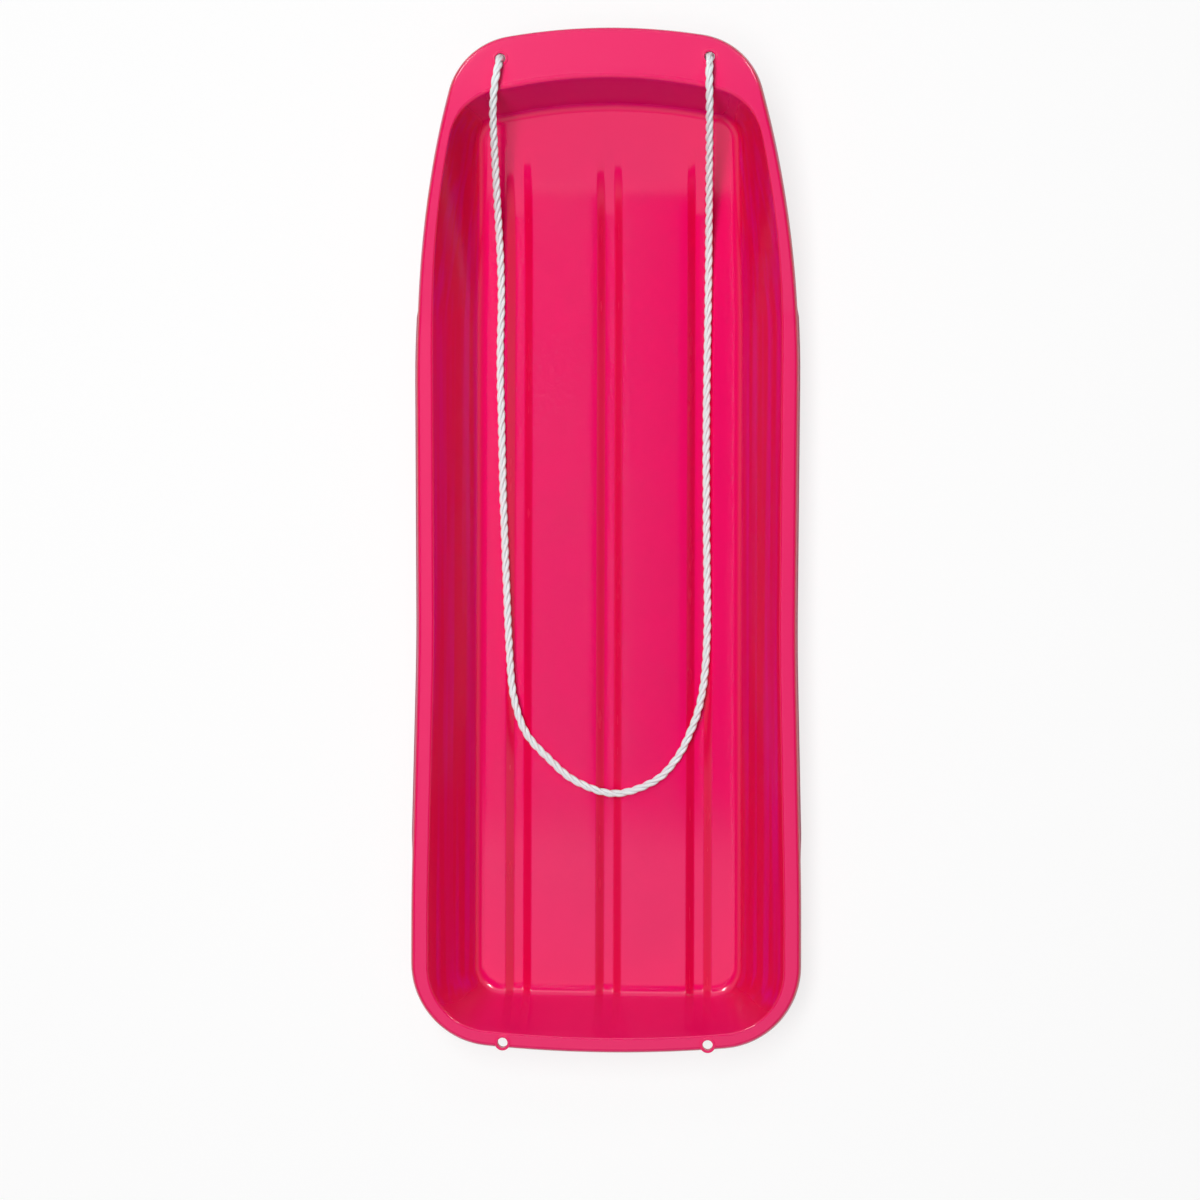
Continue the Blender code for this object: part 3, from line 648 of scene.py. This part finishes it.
def add_node(tree, kind, settings=None, numbered=None, **named):
    """Adds a node with its options and its inputs, each a value or another node's output."""
    node = tree.nodes.new(f"ShaderNode{kind}")
    for name, value in (settings or {}).items():
        setattr(node, name, value)
    inputs = {name.replace("_", " "): value for name, value in named.items()}
    for key, value in {**inputs, **(numbered or {})}.items():
        if isinstance(value, bpy.types.NodeSocket):
            tree.links.new(value, node.inputs[key])
        else:
            node.inputs[key].default_value = value
    return node


def new_material(name, **values):
    """A material with one Principled shader, its fixed values set on the shader's own sockets."""
    material = bpy.data.materials.new(name)
    material.use_nodes = True
    tree = material.node_tree
    tree.nodes.clear()
    shader = add_node(tree, "BsdfPrincipled", **values)
    add_node(tree, "OutputMaterial", Surface=shader.outputs["BSDF"])
    return material, tree, shader


def glossy_moulded_polyethylene(colours):
    """Polyethylene sheet, pigmented right through and formed in a polished mould.

    The eye gets a deep even pink, a soft gloss with lamps a little blurred, a deep red painted shade
    on the steep walls and the sides of the grooves, long crimson and magenta streaks of painted
    reflection on the high walls, a front wall painted darker and bluer all over as shade and
    reflection, and a finely grained, less shiny rim.
    """
    material, tree, shader = new_material("glossy_moulded_polyethylene", Metallic=0.0, IOR=1.51)
    place = add_node(tree, "TexCoord").outputs["Object"]
    rim, trimmed, drawn, front = (
        add_node(tree, "Attribute", {"attribute_name": name}).outputs["Fac"]
        for name in ("rim", "trimmed", "drawn", "front")
    )
    # Streaks about 12 mm apart, stretched 50 times as long. They give the sheet a slight waviness, and
    # on the high walls they give painted reflection streaks in crimson and magenta
    pulled = add_node(tree, "Mapping", Vector=place, Scale=(85.0, 1.7, 85.0)).outputs["Vector"]
    streaks = add_node(
        tree, "TexNoise", Vector=pulled, Scale=1.0, Detail=2.0, Roughness=0.5
    ).outputs["Fac"]
    painted_reflection_streaks = add_node(tree, "MapRange", Value=streaks, From_Min=0.44, From_Max=0.66).outputs["Result"]
    # Pigment clouds some 60 mm across
    clouds = add_node(tree, "TexNoise", Vector=place, Scale=16.0, Detail=3.0).outputs["Fac"]
    # The real grain is about 0.4 mm, and is drawn at 1.6 mm so that it shows
    grain = add_node(
        tree, "TexNoise", Vector=place, Scale=620.0, Detail=2.0, Roughness=0.7
    ).outputs["Fac"]
    mix = {"data_type": "RGBA"}
    body = add_node(tree, "Mix", mix, {6: colours.pink, 7: colours.cloud}, Factor=clouds)
    # The painted reflection streaks stay on the high walls, and the sides of the grooves get only the
    # red painted shade
    walled = add_node(tree, "MapRange", Value=drawn, From_Min=0.86, From_Max=0.98).outputs["Result"]
    bands = add_node(tree, "Math", {"operation": "MULTIPLY"}, {0: painted_reflection_streaks, 1: walled}).outputs[0]
    # The front wall takes the magenta all over, as painted shade and reflection
    bluer = add_node(tree, "Math", {"operation": "MAXIMUM"}, {0: bands, 1: front}).outputs[0]
    deep = add_node(tree, "Mix", mix, {6: colours.shade_red, 7: colours.shade_magenta}, Factor=bluer)
    # The painted shade of the steep walls, the grained rim and the trimmed edges, each over what comes
    # before it
    surface = body.outputs[2]
    for share, over in ((drawn, deep.outputs[2]), (rim, colours.grained), (trimmed, colours.trimmed)):
        surface = add_node(tree, "Mix", mix, {6: surface, 7: over}, Factor=share).outputs[2]
    tree.links.new(surface, shader.inputs["Base Color"])
    # The rim and the steep walls are duller than the floor, and the clouds vary the gloss a little
    gloss = add_node(tree, "MapRange", Value=rim, To_Min=0.09, To_Max=0.32).outputs["Result"]
    for share, amount in ((drawn, 0.18), (clouds, 0.05)):
        gloss = add_node(
            tree, "Math", {"operation": "MULTIPLY_ADD"}, {0: share, 1: amount, 2: gloss}
        ).outputs[0]
    tree.links.new(gloss, shader.inputs["Roughness"])
    waved = add_node(tree, "Bump", Height=streaks, Strength=0.35, Distance=0.00012).outputs["Normal"]
    grained = add_node(tree, "MapRange", Value=rim, To_Min=0.02, To_Max=0.55).outputs["Result"]
    pitted = add_node(tree, "Bump", Height=grain, Strength=grained, Normal=waved, Distance=0.00008)
    tree.links.new(pitted.outputs["Normal"], shader.inputs["Normal"])
    return material


def laid_polypropylene_rope(colours):
    """Polypropylene yarns twisted into strands and the strands laid into a rope.

    The eye gets a clean slightly shiny white, fine yarns that run almost along the rope, and
    greyer fibres between them.
    """
    material, tree, shader = new_material(
        "laid_polypropylene_rope", Metallic=0.0, IOR=1.49, Roughness=0.42, Sheen_Weight=0.15
    )
    around = add_node(tree, "UVMap", {"uv_map": "strand"}).outputs["UV"]
    # 12 yarns round a strand, each about 1.2 mm across
    yarn_place = add_node(tree, "Mapping", Vector=around, Scale=(12.0, 1.0, 1.0)).outputs["Vector"]
    yarns = add_node(
        tree,
        "TexWave",
        {"wave_type": "BANDS", "bands_direction": "X", "wave_profile": "SIN"},
        Vector=yarn_place,
        Scale=0.31831,
        Distortion=0.0,
    ).outputs["Fac"]
    fibre_place = add_node(tree, "Mapping", Vector=around, Scale=(60.0, 9.0, 1.0)).outputs["Vector"]
    fibres = add_node(tree, "TexNoise", Vector=fibre_place, Scale=1.0, Detail=2.0).outputs["Fac"]
    tone = add_node(
        tree, "Mix", {"data_type": "RGBA"}, {6: colours.rope_shade, 7: colours.rope}, Factor=fibres
    )
    tree.links.new(tone.outputs[2], shader.inputs["Base Color"])
    ridged = add_node(tree, "Bump", Height=yarns, Strength=0.5, Distance=0.00025).outputs["Normal"]
    hairy = add_node(tree, "Bump", Height=fibres, Normal=ridged, Strength=0.3, Distance=0.0001)
    tree.links.new(hairy.outputs["Normal"], shader.inputs["Normal"])
    return material


def seen_directly(tree):
    """One for what the camera sees, also in a mirror or through glass, and zero for other light."""
    path = add_node(tree, "LightPath").outputs
    seen = path["Is Camera Ray"]
    for other in ("Is Glossy Ray", "Is Transmission Ray"):
        seen = add_node(tree, "Math", {"operation": "MAXIMUM"}, {0: seen, 1: path[other]}).outputs[0]
    return seen


def white_paper_sweep(background):
    """Plain matt paper under the object.

    The eye gets an even white with the object's soft shadow left on it.
    """
    material, tree, shader = new_material(
        "white_paper_sweep", Base_Color=(0.95, 0.95, 0.95, 1.0), Roughness=0.9, IOR=1.3
    )
    output = next(node for node in tree.nodes if node.type == "OUTPUT_MATERIAL")
    place = add_node(tree, "TexCoord").outputs["Object"]
    away = add_node(tree, "VectorMath", {"operation": "LENGTH"}, {0: place}).outputs["Value"]
    # The paper keeps the shadow near the object, and is plain white from a few metres on
    whitened = add_node(
        tree, "MapRange", Value=away, From_Min=1.5, From_Max=6.0, To_Min=0.80, To_Max=0.95
    ).outputs["Result"]
    share = add_node(
        tree, "Math", {"operation": "MULTIPLY"}, {0: seen_directly(tree), 1: whitened}
    ).outputs[0]
    lit = add_node(tree, "Emission", Color=background, Strength=1.0).outputs["Emission"]
    mixed = add_node(tree, "MixShader", None, {0: share, 1: shader.outputs["BSDF"], 2: lit})
    tree.links.new(mixed.outputs["Shader"], output.inputs["Surface"])
    return material


# Making a piece


def start_piece():
    """Leaves edit mode and deselects everything, so that a new primitive stands alone."""
    if bpy.context.object and bpy.context.object.mode != "OBJECT":
        bpy.ops.object.mode_set(mode="OBJECT")
    bpy.ops.object.select_all(action="DESELECT")


def choose(*things):
    start_piece()
    for thing in things:
        thing.select_set(True)
    bpy.context.view_layer.objects.active = things[0]


def name_piece(thing, name):
    thing.name = name
    thing.data.name = name
    return thing


def apply_modifier(thing, kind, **settings):
    choose(thing)
    bpy.ops.object.modifier_add(type=kind)
    modifier = thing.modifiers[-1]
    for name, value in settings.items():
        setattr(modifier, name, value)
    bpy.ops.object.modifier_apply(modifier=modifier.name)


def give_material(thing, material):
    thing.data.materials.clear()
    thing.data.materials.append(material)
    for polygon in thing.data.polygons:
        polygon.material_index = 0


def select_in_mesh(mesh, chosen):
    """Selects only the given edges or faces of a mesh in edit mode."""
    for group in (mesh.verts, mesh.edges, mesh.faces):
        for item in group:
            item.select = False
    for item in chosen:
        item.select_set(True)


def shell_sheet(shape):
    """The moulding's upper and outer surface as one open sheet.

    It starts as a grid for the floor, and its border is drawn out ring by ring.
    """
    columns, rows = shape.grid_lines()
    start_piece()
    bpy.ops.mesh.primitive_grid_add(x_subdivisions=len(columns) - 1, y_subdivisions=len(rows) - 1)
    shell = name_piece(bpy.context.object, "hull_moulding")
    ordered = sorted(
        shell.data.vertices, key=lambda vertex: (round(vertex.co.y, 4), round(vertex.co.x, 4))
    )
    for index, vertex in enumerate(ordered):
        x = columns[index % len(columns)]
        y = rows[index // len(columns)]
        vertex.co = (x, y, shape.floor_height(y) - shape.groove_depth(x, y))
    ring = [ordered[row * len(columns) + column].index for column, row in core_spokes(columns, rows)]
    bpy.ops.object.mode_set(mode="EDIT")
    bpy.ops.mesh.select_mode(type="EDGE")
    for places in shape.sections(columns, rows):
        ring = draw_out(shell, ring, places)
    bpy.ops.mesh.select_all(action="SELECT")
    bpy.ops.mesh.normals_make_consistent(inside=False)
    mesh = bmesh.from_edit_mesh(shell.data)
    middle = min(mesh.faces, key=lambda face: face.calc_center_median().length)
    if middle.normal.z < 0:
        bpy.ops.mesh.flip_normals()
    bpy.ops.object.mode_set(mode="OBJECT")
    return shell


def draw_out(shell, ring, places):
    """Extrudes a closed ring of edges to new places and returns the new ring's vertices."""
    mesh = bmesh.from_edit_mesh(shell.data)
    mesh.verts.ensure_lookup_table()
    edges = []
    for first, second in zip(ring, ring[1:] + ring[:1]):
        vertex, other = mesh.verts[first], mesh.verts[second]
        edges.append(next(edge for edge in vertex.link_edges if edge.other_vert(vertex) == other))
    select_in_mesh(mesh, edges)
    bpy.ops.mesh.extrude_edges_move()
    mesh = bmesh.from_edit_mesh(shell.data)
    mesh.verts.index_update()
    mesh.verts.ensure_lookup_table()
    following = []
    known = set(ring)
    for index, place in zip(ring, places):
        vertex = mesh.verts[index]
        ends = [edge.other_vert(vertex) for edge in vertex.link_edges]
        partner = next(end for end in ends if end.select and end.index not in known)
        partner.co = place
        following.append(partner.index)
    return following


def round_hem(shell, shape):
    """Breaks the sharp cut edges along the bottom of the skirt."""
    choose(shell)
    bpy.ops.object.mode_set(mode="EDIT")
    bpy.ops.mesh.select_mode(type="EDGE")
    mesh = bmesh.from_edit_mesh(shell.data)
    sharp = [edge for edge in mesh.edges if edge.calc_face_angle(0) > math.radians(60)]
    select_in_mesh(mesh, sharp)
    bpy.ops.mesh.bevel(offset=HEM_BREAK, segments=2, affect="EDGES")
    bpy.ops.object.mode_set(mode="OBJECT")


def hole_places(shape):
    """Each rope hole's middle and the height of the rim there."""
    rear_row, nose_row = shape.hole_rows()
    places = []
    for row, top, depth in (
        (nose_row, shape.sizes.nose_height, shape.sizes.wall / 2),
        (rear_row, shape.sizes.rim_height, shape.sizes.skirt_depth),
    ):
        for side in (-1, 1):
            places.append((side * shape.hole_x, row, top, depth))
    return places


def upright_cylinder(place, radius, depth):
    """A cylinder for a hole, with its place applied and left open in edit mode."""
    start_piece()
    bpy.ops.mesh.primitive_cylinder_add(
        vertices=HOLE_SIDES, radius=radius, depth=depth, location=place
    )
    bpy.ops.object.transform_apply(location=True, rotation=True, scale=True)
    bpy.ops.object.mode_set(mode="EDIT")
    return bpy.context.object


def joined(pieces):
    choose(*pieces)
    bpy.ops.object.join()
    return bpy.context.object


def ring_cutter(shape):
    """The raised rings round the four holes, each with its top edge rounded."""
    sizes = shape.sizes
    rings = []
    for x, y, top, depth in hole_places(shape):
        ring = upright_cylinder(
            (x, y, top + (sizes.ring_height - depth) / 2),
            sizes.hole_diameter / 2 + sizes.ring_width,
            depth + sizes.ring_height,
        )
        mesh = bmesh.from_edit_mesh(ring.data)
        high = top + sizes.ring_height - 1e-6
        edges = [edge for edge in mesh.edges if min(end.co.z for end in edge.verts) > high]
        select_in_mesh(mesh, edges)
        bpy.ops.mesh.bevel(offset=RING_ROUNDING, segments=4, affect="EDGES")
        rings.append(ring)
    return joined(rings)


def bore_cutter(shape):
    """The four bores, each opened out a little at the top of its ring."""
    sizes = shape.sizes
    bores = []
    for x, y, top, depth in hole_places(shape):
        low = top - 2 * sizes.skirt_depth
        chamfer_foot = top + sizes.ring_height - HOLE_CHAMFER
        bore = upright_cylinder(
            (x, y, (chamfer_foot + low) / 2), sizes.hole_diameter / 2, chamfer_foot - low
        )
        bpy.ops.mesh.select_mode(type="FACE")
        mesh = bmesh.from_edit_mesh(bore.data)
        select_in_mesh(mesh, [face for face in mesh.faces if face.normal.z > 0.9])
        for share in (1.0, 1.5):
            rise = HOLE_CHAMFER * share
            bpy.ops.mesh.extrude_region_move(TRANSFORM_OT_translate={"value": (0, 0, rise)})
            wider = 1 + 2 * rise / sizes.hole_diameter
            bpy.ops.transform.resize(value=(wider, wider, 1), center_override=(x, y, 0))
        bores.append(bore)
    return joined(bores)


def mark_surfaces(shell, shape):
    """Marks the grained rim, the trimmed side edges, and the steep walls and front wall that take
    painted shade in the material.
    """
    marks = {"rim": [], "trimmed": [], "drawn": [], "front": []}
    for vertex in shell.data.vertices:
        x, y, z = vertex.co
        below = shape.rim_height(y) - z
        marks["rim"].append(1 - smooth((below - GRAIN_FROM) / GRAIN_FADE))
        cut = smooth((below - shape.sizes.skirt_depth + LIP + TRIM_ABOVE_HEM) / TRIM_FADE)
        outside = smooth((abs(x) - shape.mouth_half - TRIM_OUTSIDE) / TRIM_SIDE_FADE)
        marks["trimmed"].append(cut * outside * shape.lip_share(y))
        facing = vertex.normal if vertex.normal.z > 0 else -vertex.normal
        steep = max(abs(facing.x), (-facing.y - FLOOR_SLOPE) * FRONT_SHARE)
        # The steeper a face, the more painted shade it gets
        marks["drawn"].append(smooth((steep - STEEP_SHADE_FROM) / (STEEP_SHADE_TO - STEEP_SHADE_FROM)))
        # The front wall's painted shade and bluish reflection
        marks["front"].append(smooth((-facing.y - FRONT_FROM) / (FRONT_TO - FRONT_FROM)))
    for name, values in marks.items():
        layer = shell.data.attributes.new(name, "FLOAT", "POINT")
        layer.data.foreach_set("value", values)


class TOBOGGAN_OT_shell(bpy.types.Operator):
    """Models the moulded shell with its grooves, rim and rope holes"""

    bl_idname = "toboggan.shell"
    bl_label = "Moulded shell"

    def execute(self, context):
        shape = ShellShape(context.scene.toboggan_shell)
        shell = shell_sheet(shape)
        apply_modifier(
            shell, "SOLIDIFY", thickness=shape.sizes.wall, offset=-1.0, use_even_offset=True
        )
        round_hem(shell, shape)
        for cutter, operation in ((ring_cutter(shape), "UNION"), (bore_cutter(shape), "DIFFERENCE")):
            apply_modifier(shell, "BOOLEAN", operation=operation, solver="EXACT", object=cutter)
            bpy.data.objects.remove(cutter, do_unlink=True)
        mark_surfaces(shell, shape)
        give_material(shell, glossy_moulded_polyethylene(context.scene.toboggan_colours))
        choose(shell)
        bpy.ops.object.shade_smooth_by_angle(angle=math.radians(35))
        if len(shell.data.polygons) < FEWEST_FACES:
            raise RuntimeError("the moulded shell lost part of its surface")
        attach(shell, "sled")
        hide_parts("hull")
        return {"FINISHED"}


# Rope


def carried_frames(path):
    """A direction and two sideways directions at each point, carried along without twisting."""
    frames = []
    sideways = None
    for index, point in enumerate(path):
        before, after = path[max(0, index - 1)], path[min(len(path) - 1, index + 1)]
        ahead = (after - before).normalized()
        if sideways is None:
            sideways = ahead.orthogonal().normalized()
        else:
            sideways = (sideways - ahead * sideways.dot(ahead)).normalized()
        frames.append((ahead, sideways, ahead.cross(sideways)))
    return frames


def strand_line(path, frames, spacing, turned, sizes, offset):
    """The middle of one strand, wound round the path like a right-handed screw."""
    line = []
    for index, (point, (ahead, first, second)) in enumerate(zip(path, frames)):
        angle = turned + math.tau * index * spacing / sizes.lay
        wobble = 1 + WANDER * math.sin(index * spacing * WANDER_RATE + turned)
        out = first * math.cos(angle) + second * math.sin(angle)
        line.append((point + out * offset * wobble, out))
    return line


def laid_rope(name, route, sizes, open_end=None):
    """A three-strand rope along a route, as one mesh with yarns marked by its UV map.

    open_end is "last" where the rope's last point is a fused end that shows.
    """
    curve = smooth_curve([Vector(point) for point in route])
    total = evenly(curve, 2)[1]
    count = int(total / sizes.lay * sizes.steps_per_lay) + 1
    path, total = evenly(curve, count)
    spacing = total / (count - 1)
    frames = carried_frames(path)
    offset = sizes.diameter / 2 - sizes.strand_radius
    sides = sizes.sides
    vertices, faces, marks = [], [], []
    for strand in range(3):
        line = strand_line(path, frames, spacing, strand * math.tau / 3, sizes, offset)
        base = len(vertices)
        for index, (middle, out) in enumerate(line):
            ahead = line[min(count - 1, index + 1)][0] - line[max(0, index - 1)][0]
            ahead.normalize()
            first = (out - ahead * out.dot(ahead)).normalized()
            second = ahead.cross(first)
            radius = sizes.strand_radius * (1 + SWELL * math.sin(index * SWELL_RATE + strand))
            to_end = (count - 1 - index) * spacing / sizes.strand_radius
            if open_end == "last" and to_end < 1:
                radius *= math.sqrt(max(FUSED_LEAST, 1 - (1 - to_end) ** 2))
                middle = middle.lerp(path[index], FUSED_PULL * (1 - to_end))
            for side in range(sides):
                angle = math.tau * side / sides
                vertices.append(middle + (first * math.cos(angle) + second * math.sin(angle)) * radius)
        for index in range(count - 1):
            low, high = base + index * sides, base + (index + 1) * sides
            for side in range(sides):
                after = (side + 1) % sides
                faces.append((low + side, low + after, high + after, high + side))
                along = index * spacing / YARN_TURN
                beyond = along + spacing / YARN_TURN
                ends = (along, along, beyond, beyond)
                across = (side, side + 1, side + 1, side)
                marks.extend((a / sides - e, e) for a, e in zip(across, ends))
        faces.append(tuple(base + side for side in reversed(range(sides))))
        faces.append(tuple(base + (count - 1) * sides + side for side in range(sides)))
        marks.extend([(0.0, 0.0)] * (2 * sides))
    data = bpy.data.meshes.new(name)
    data.from_pydata(vertices, [], faces)
    layer = data.uv_layers.new(name="strand")
    layer.data.foreach_set("uv", [value for mark in marks for value in mark])
    rope = bpy.data.objects.new(name, data)
    bpy.context.scene.collection.objects.link(rope)
    choose(rope)
    bpy.ops.object.shade_smooth()
    return rope, path, total


def hole_rise(side, row, hole_x):
    """The rope's turn out of a nose hole, from upright to its slope back into the tub."""
    foot = Vector((side * hole_x, row + RISE_FORWARD, RISE_FOOT))
    points = []
    for degrees in RISE_TURNS:
        turn = math.radians(degrees)
        back = RISE_RADIUS * (1 - math.cos(turn))
        up = RISE_RADIUS * math.sin(turn)
        outwards = side * RISE_SPREAD * degrees / RISE_TURNS[-1]
        points.append(foot + Vector((outwards, -back, up)))
    return points


class TOBOGGAN_OT_knots(bpy.types.Operator):
    """Ties the two stopper knots under the nose deck"""

    bl_idname = "toboggan.knots"
    bl_label = "Stopper knots"

    def execute(self, context):
        shape = ShellShape(context.scene.toboggan_shell)
        nose_row = shape.hole_rows()[1]
        under_deck = shape.sizes.nose_height - shape.sizes.wall
        hole = Vector((-shape.hole_x, nose_row, under_deck))
        route = [hole + Vector(point) * MM for point in KNOT_ROUTE]
        sizes = context.scene.toboggan_rope
        left = laid_rope("left_stopper_knot", route, sizes, open_end="last")[0]
        give_material(left, laid_polypropylene_rope(context.scene.toboggan_colours))
        choose(left)
        bpy.ops.object.duplicate(linked=False)
        right = name_piece(bpy.context.object, "right_stopper_knot")
        bpy.ops.transform.rotate(value=math.pi, orient_axis="Z", center_override=hole)
        bpy.ops.transform.translate(value=(2 * shape.hole_x, 0.0, 0.0))
        bpy.ops.object.transform_apply(location=True, rotation=True, scale=True)
        for knot, node in ((left, "left_knot"), (right, "right_knot")):
            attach(knot, "sled")
            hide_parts(node)
        return {"FINISHED"}


class TOBOGGAN_OT_rope(bpy.types.Operator):
    """Lays the rope's loop from one nose hole round the tub to the other"""

    bl_idname = "toboggan.rope"
    bl_label = "Tow rope"

    def execute(self, context):
        sizes = context.scene.toboggan_rope
        shape = ShellShape(context.scene.toboggan_shell)
        nose_row = shape.hole_rows()[1]
        route = hole_rise(-1, nose_row, shape.hole_x)
        route += [Vector(point) for point in LOOP_ROUTE]
        route += list(reversed(hole_rise(1, nose_row, shape.hole_x)))
        rope, path, total = laid_rope("tow_rope_loop", route, sizes)
        knots = [bpy.data.objects[f"{side}_stopper_knot"] for side in ("left", "right")]
        give_material(rope, knots[0].data.materials[0])
        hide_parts("tow_rope")
        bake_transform(rope)
        print(f"tow rope, hole to hole and through both: {total:.4f} m")
        return {"FINISHED"}


# Stage


def area_lamp(name, place, target, size, radiance):
    """A soft flat lamp that faces a target, with its second side along Y.

    The light is given as what it shows in a mirror.
    """
    start_piece()
    bpy.ops.object.light_add(type="AREA", location=place)
    lamp = name_piece(bpy.context.object, name)
    way = (Vector(target) - Vector(place)).normalized()
    lamp.rotation_euler = (math.asin(way.y), math.atan2(-way.x, -way.z), 0.0)
    lamp.data.shape = "RECTANGLE"
    lamp.data.size, lamp.data.size_y = size
    lamp.data.energy = radiance * math.pi * size[0] * size[1]
    lamp.visible_camera = False
    return lamp


class TOBOGGAN_OT_stage(bpy.types.Operator):
    """Sets the camera above the sled, the soft lamps and the white floor"""

    bl_idname = "toboggan.stage"
    bl_label = "Studio"

    def execute(self, context):
        settings = context.scene.toboggan_stage
        start_piece()
        bpy.ops.object.camera_add(location=(settings.camera_right, CAMERA_Y, settings.camera_height))
        camera = name_piece(bpy.context.object, "overhead_camera")
        rim = context.scene.toboggan_shell.rim_height
        lean = math.atan((settings.camera_right - PICTURE_X) / (settings.camera_height - rim))
        camera.rotation_euler = (0.0, lean, math.radians(CAMERA_ROLL))
        camera.data.sensor_width = 36.0
        camera.data.lens = settings.lens
        context.scene.camera = camera
        start_piece()
        bpy.ops.mesh.primitive_plane_add(size=PAPER_SIZE, location=(0.0, 0.0, -PAPER_BELOW))
        floor = name_piece(bpy.context.object, "paper_floor")
        bpy.ops.object.transform_apply(location=True, rotation=True, scale=True)
        give_material(floor, white_paper_sweep(settings.background))
        area_lamp("rear_softbox", (0.0, -1.86, 3.5), (0.0, -1.86, 0.0), (3.4, 2.36), 0.9)
        area_lamp("front_softbox", (0.0, 3.0, 3.0), (0.0, 0.0, 0.0), (2.6, 1.0), 2.0)
        # The edge lamps only give the bends their bright lines, and light nothing else
        for name, x in (("left_edge_lamp", -1.4), ("right_edge_lamp", 1.4)):
            edge_lamp = area_lamp(name, (x, 1.8, 2.4), (0.0, -0.3, 0.1), (0.25, 0.8), 60.0)
            edge_lamp.visible_diffuse = False
        # The main light comes from beside the camera, and mirrors don't show it
        overhead = area_lamp("overhead_fill", (-0.5, 0.4, 3.4), (0.0, 0.4, 0.0), (0.9, 2.2), 15.9)
        overhead.visible_glossy = False
        world = bpy.data.worlds.new("studio_room")
        context.scene.world = world
        world.use_nodes = True
        tree = world.node_tree
        tree.nodes.clear()
        way = add_node(tree, "TexCoord").outputs["Generated"]
        height = add_node(tree, "SeparateXYZ", Vector=way).outputs["Z"]
        # Pale walls low down and a dark ceiling, which keeps the floor of the tub a deep pink
        glow = add_node(
            tree,
            "MapRange",
            {"interpolation_type": "SMOOTHSTEP"},
            Value=height,
            From_Min=0.35,
            From_Max=0.80,
            To_Min=0.95,
            To_Max=0.04,
        ).outputs["Result"]
        seen = seen_directly(tree)
        share = add_node(tree, "MapRange", Value=seen, To_Min=0.15, To_Max=1.0).outputs["Result"]
        level = add_node(tree, "Math", {"operation": "MULTIPLY"}, {0: glow, 1: share}).outputs[0]
        light = add_node(tree, "Background", Strength=level, Color=(1.0, 1.0, 1.0, 1.0))
        add_node(tree, "OutputWorld", Surface=light.outputs["Background"])
        context.scene.view_settings.view_transform = "Standard"
        return {"FINISHED"}


class TOBOGGAN_PT_panel(bpy.types.Panel):
    """Lists the toboggan's sizes, colours and pieces"""

    bl_label = "Toboggan"
    bl_idname = "TOBOGGAN_PT_panel"
    bl_space_type = "VIEW_3D"
    bl_region_type = "UI"
    bl_category = "Toboggan"

    def draw(self, context):
        for group in ("toboggan_shell", "toboggan_rope", "toboggan_colours", "toboggan_stage"):
            box = self.layout.box()
            settings = getattr(context.scene, group)
            for name in settings.bl_rna.properties.keys():
                if name not in ("rna_type", "name"):
                    box.prop(settings, name)
        for operator in OPERATORS:
            self.layout.operator(operator.bl_idname)


GROUPS = {
    "toboggan_shell": ShellSizes,
    "toboggan_rope": RopeSizes,
    "toboggan_colours": FinishColours,
    "toboggan_stage": StageSettings,
}
OPERATORS = (TOBOGGAN_OT_stage, TOBOGGAN_OT_knots, TOBOGGAN_OT_rope, TOBOGGAN_OT_shell)


def register():
    for name, group in GROUPS.items():
        bpy.utils.register_class(group)
        setattr(bpy.types.Scene, name, bpy.props.PointerProperty(type=group))
    for item in (*OPERATORS, TOBOGGAN_PT_panel):
        bpy.utils.register_class(item)


def unregister():
    for item in (TOBOGGAN_PT_panel, *reversed(OPERATORS)):
        bpy.utils.unregister_class(item)
    for name, group in reversed(GROUPS.items()):
        delattr(bpy.types.Scene, name)
        bpy.utils.unregister_class(group)


def main():
    register()
    bpy.ops.toboggan.stage()
    bpy.ops.toboggan.knots()
    bpy.ops.toboggan.rope()
    bpy.ops.toboggan.shell()


if __name__ == "__main__":
    main()
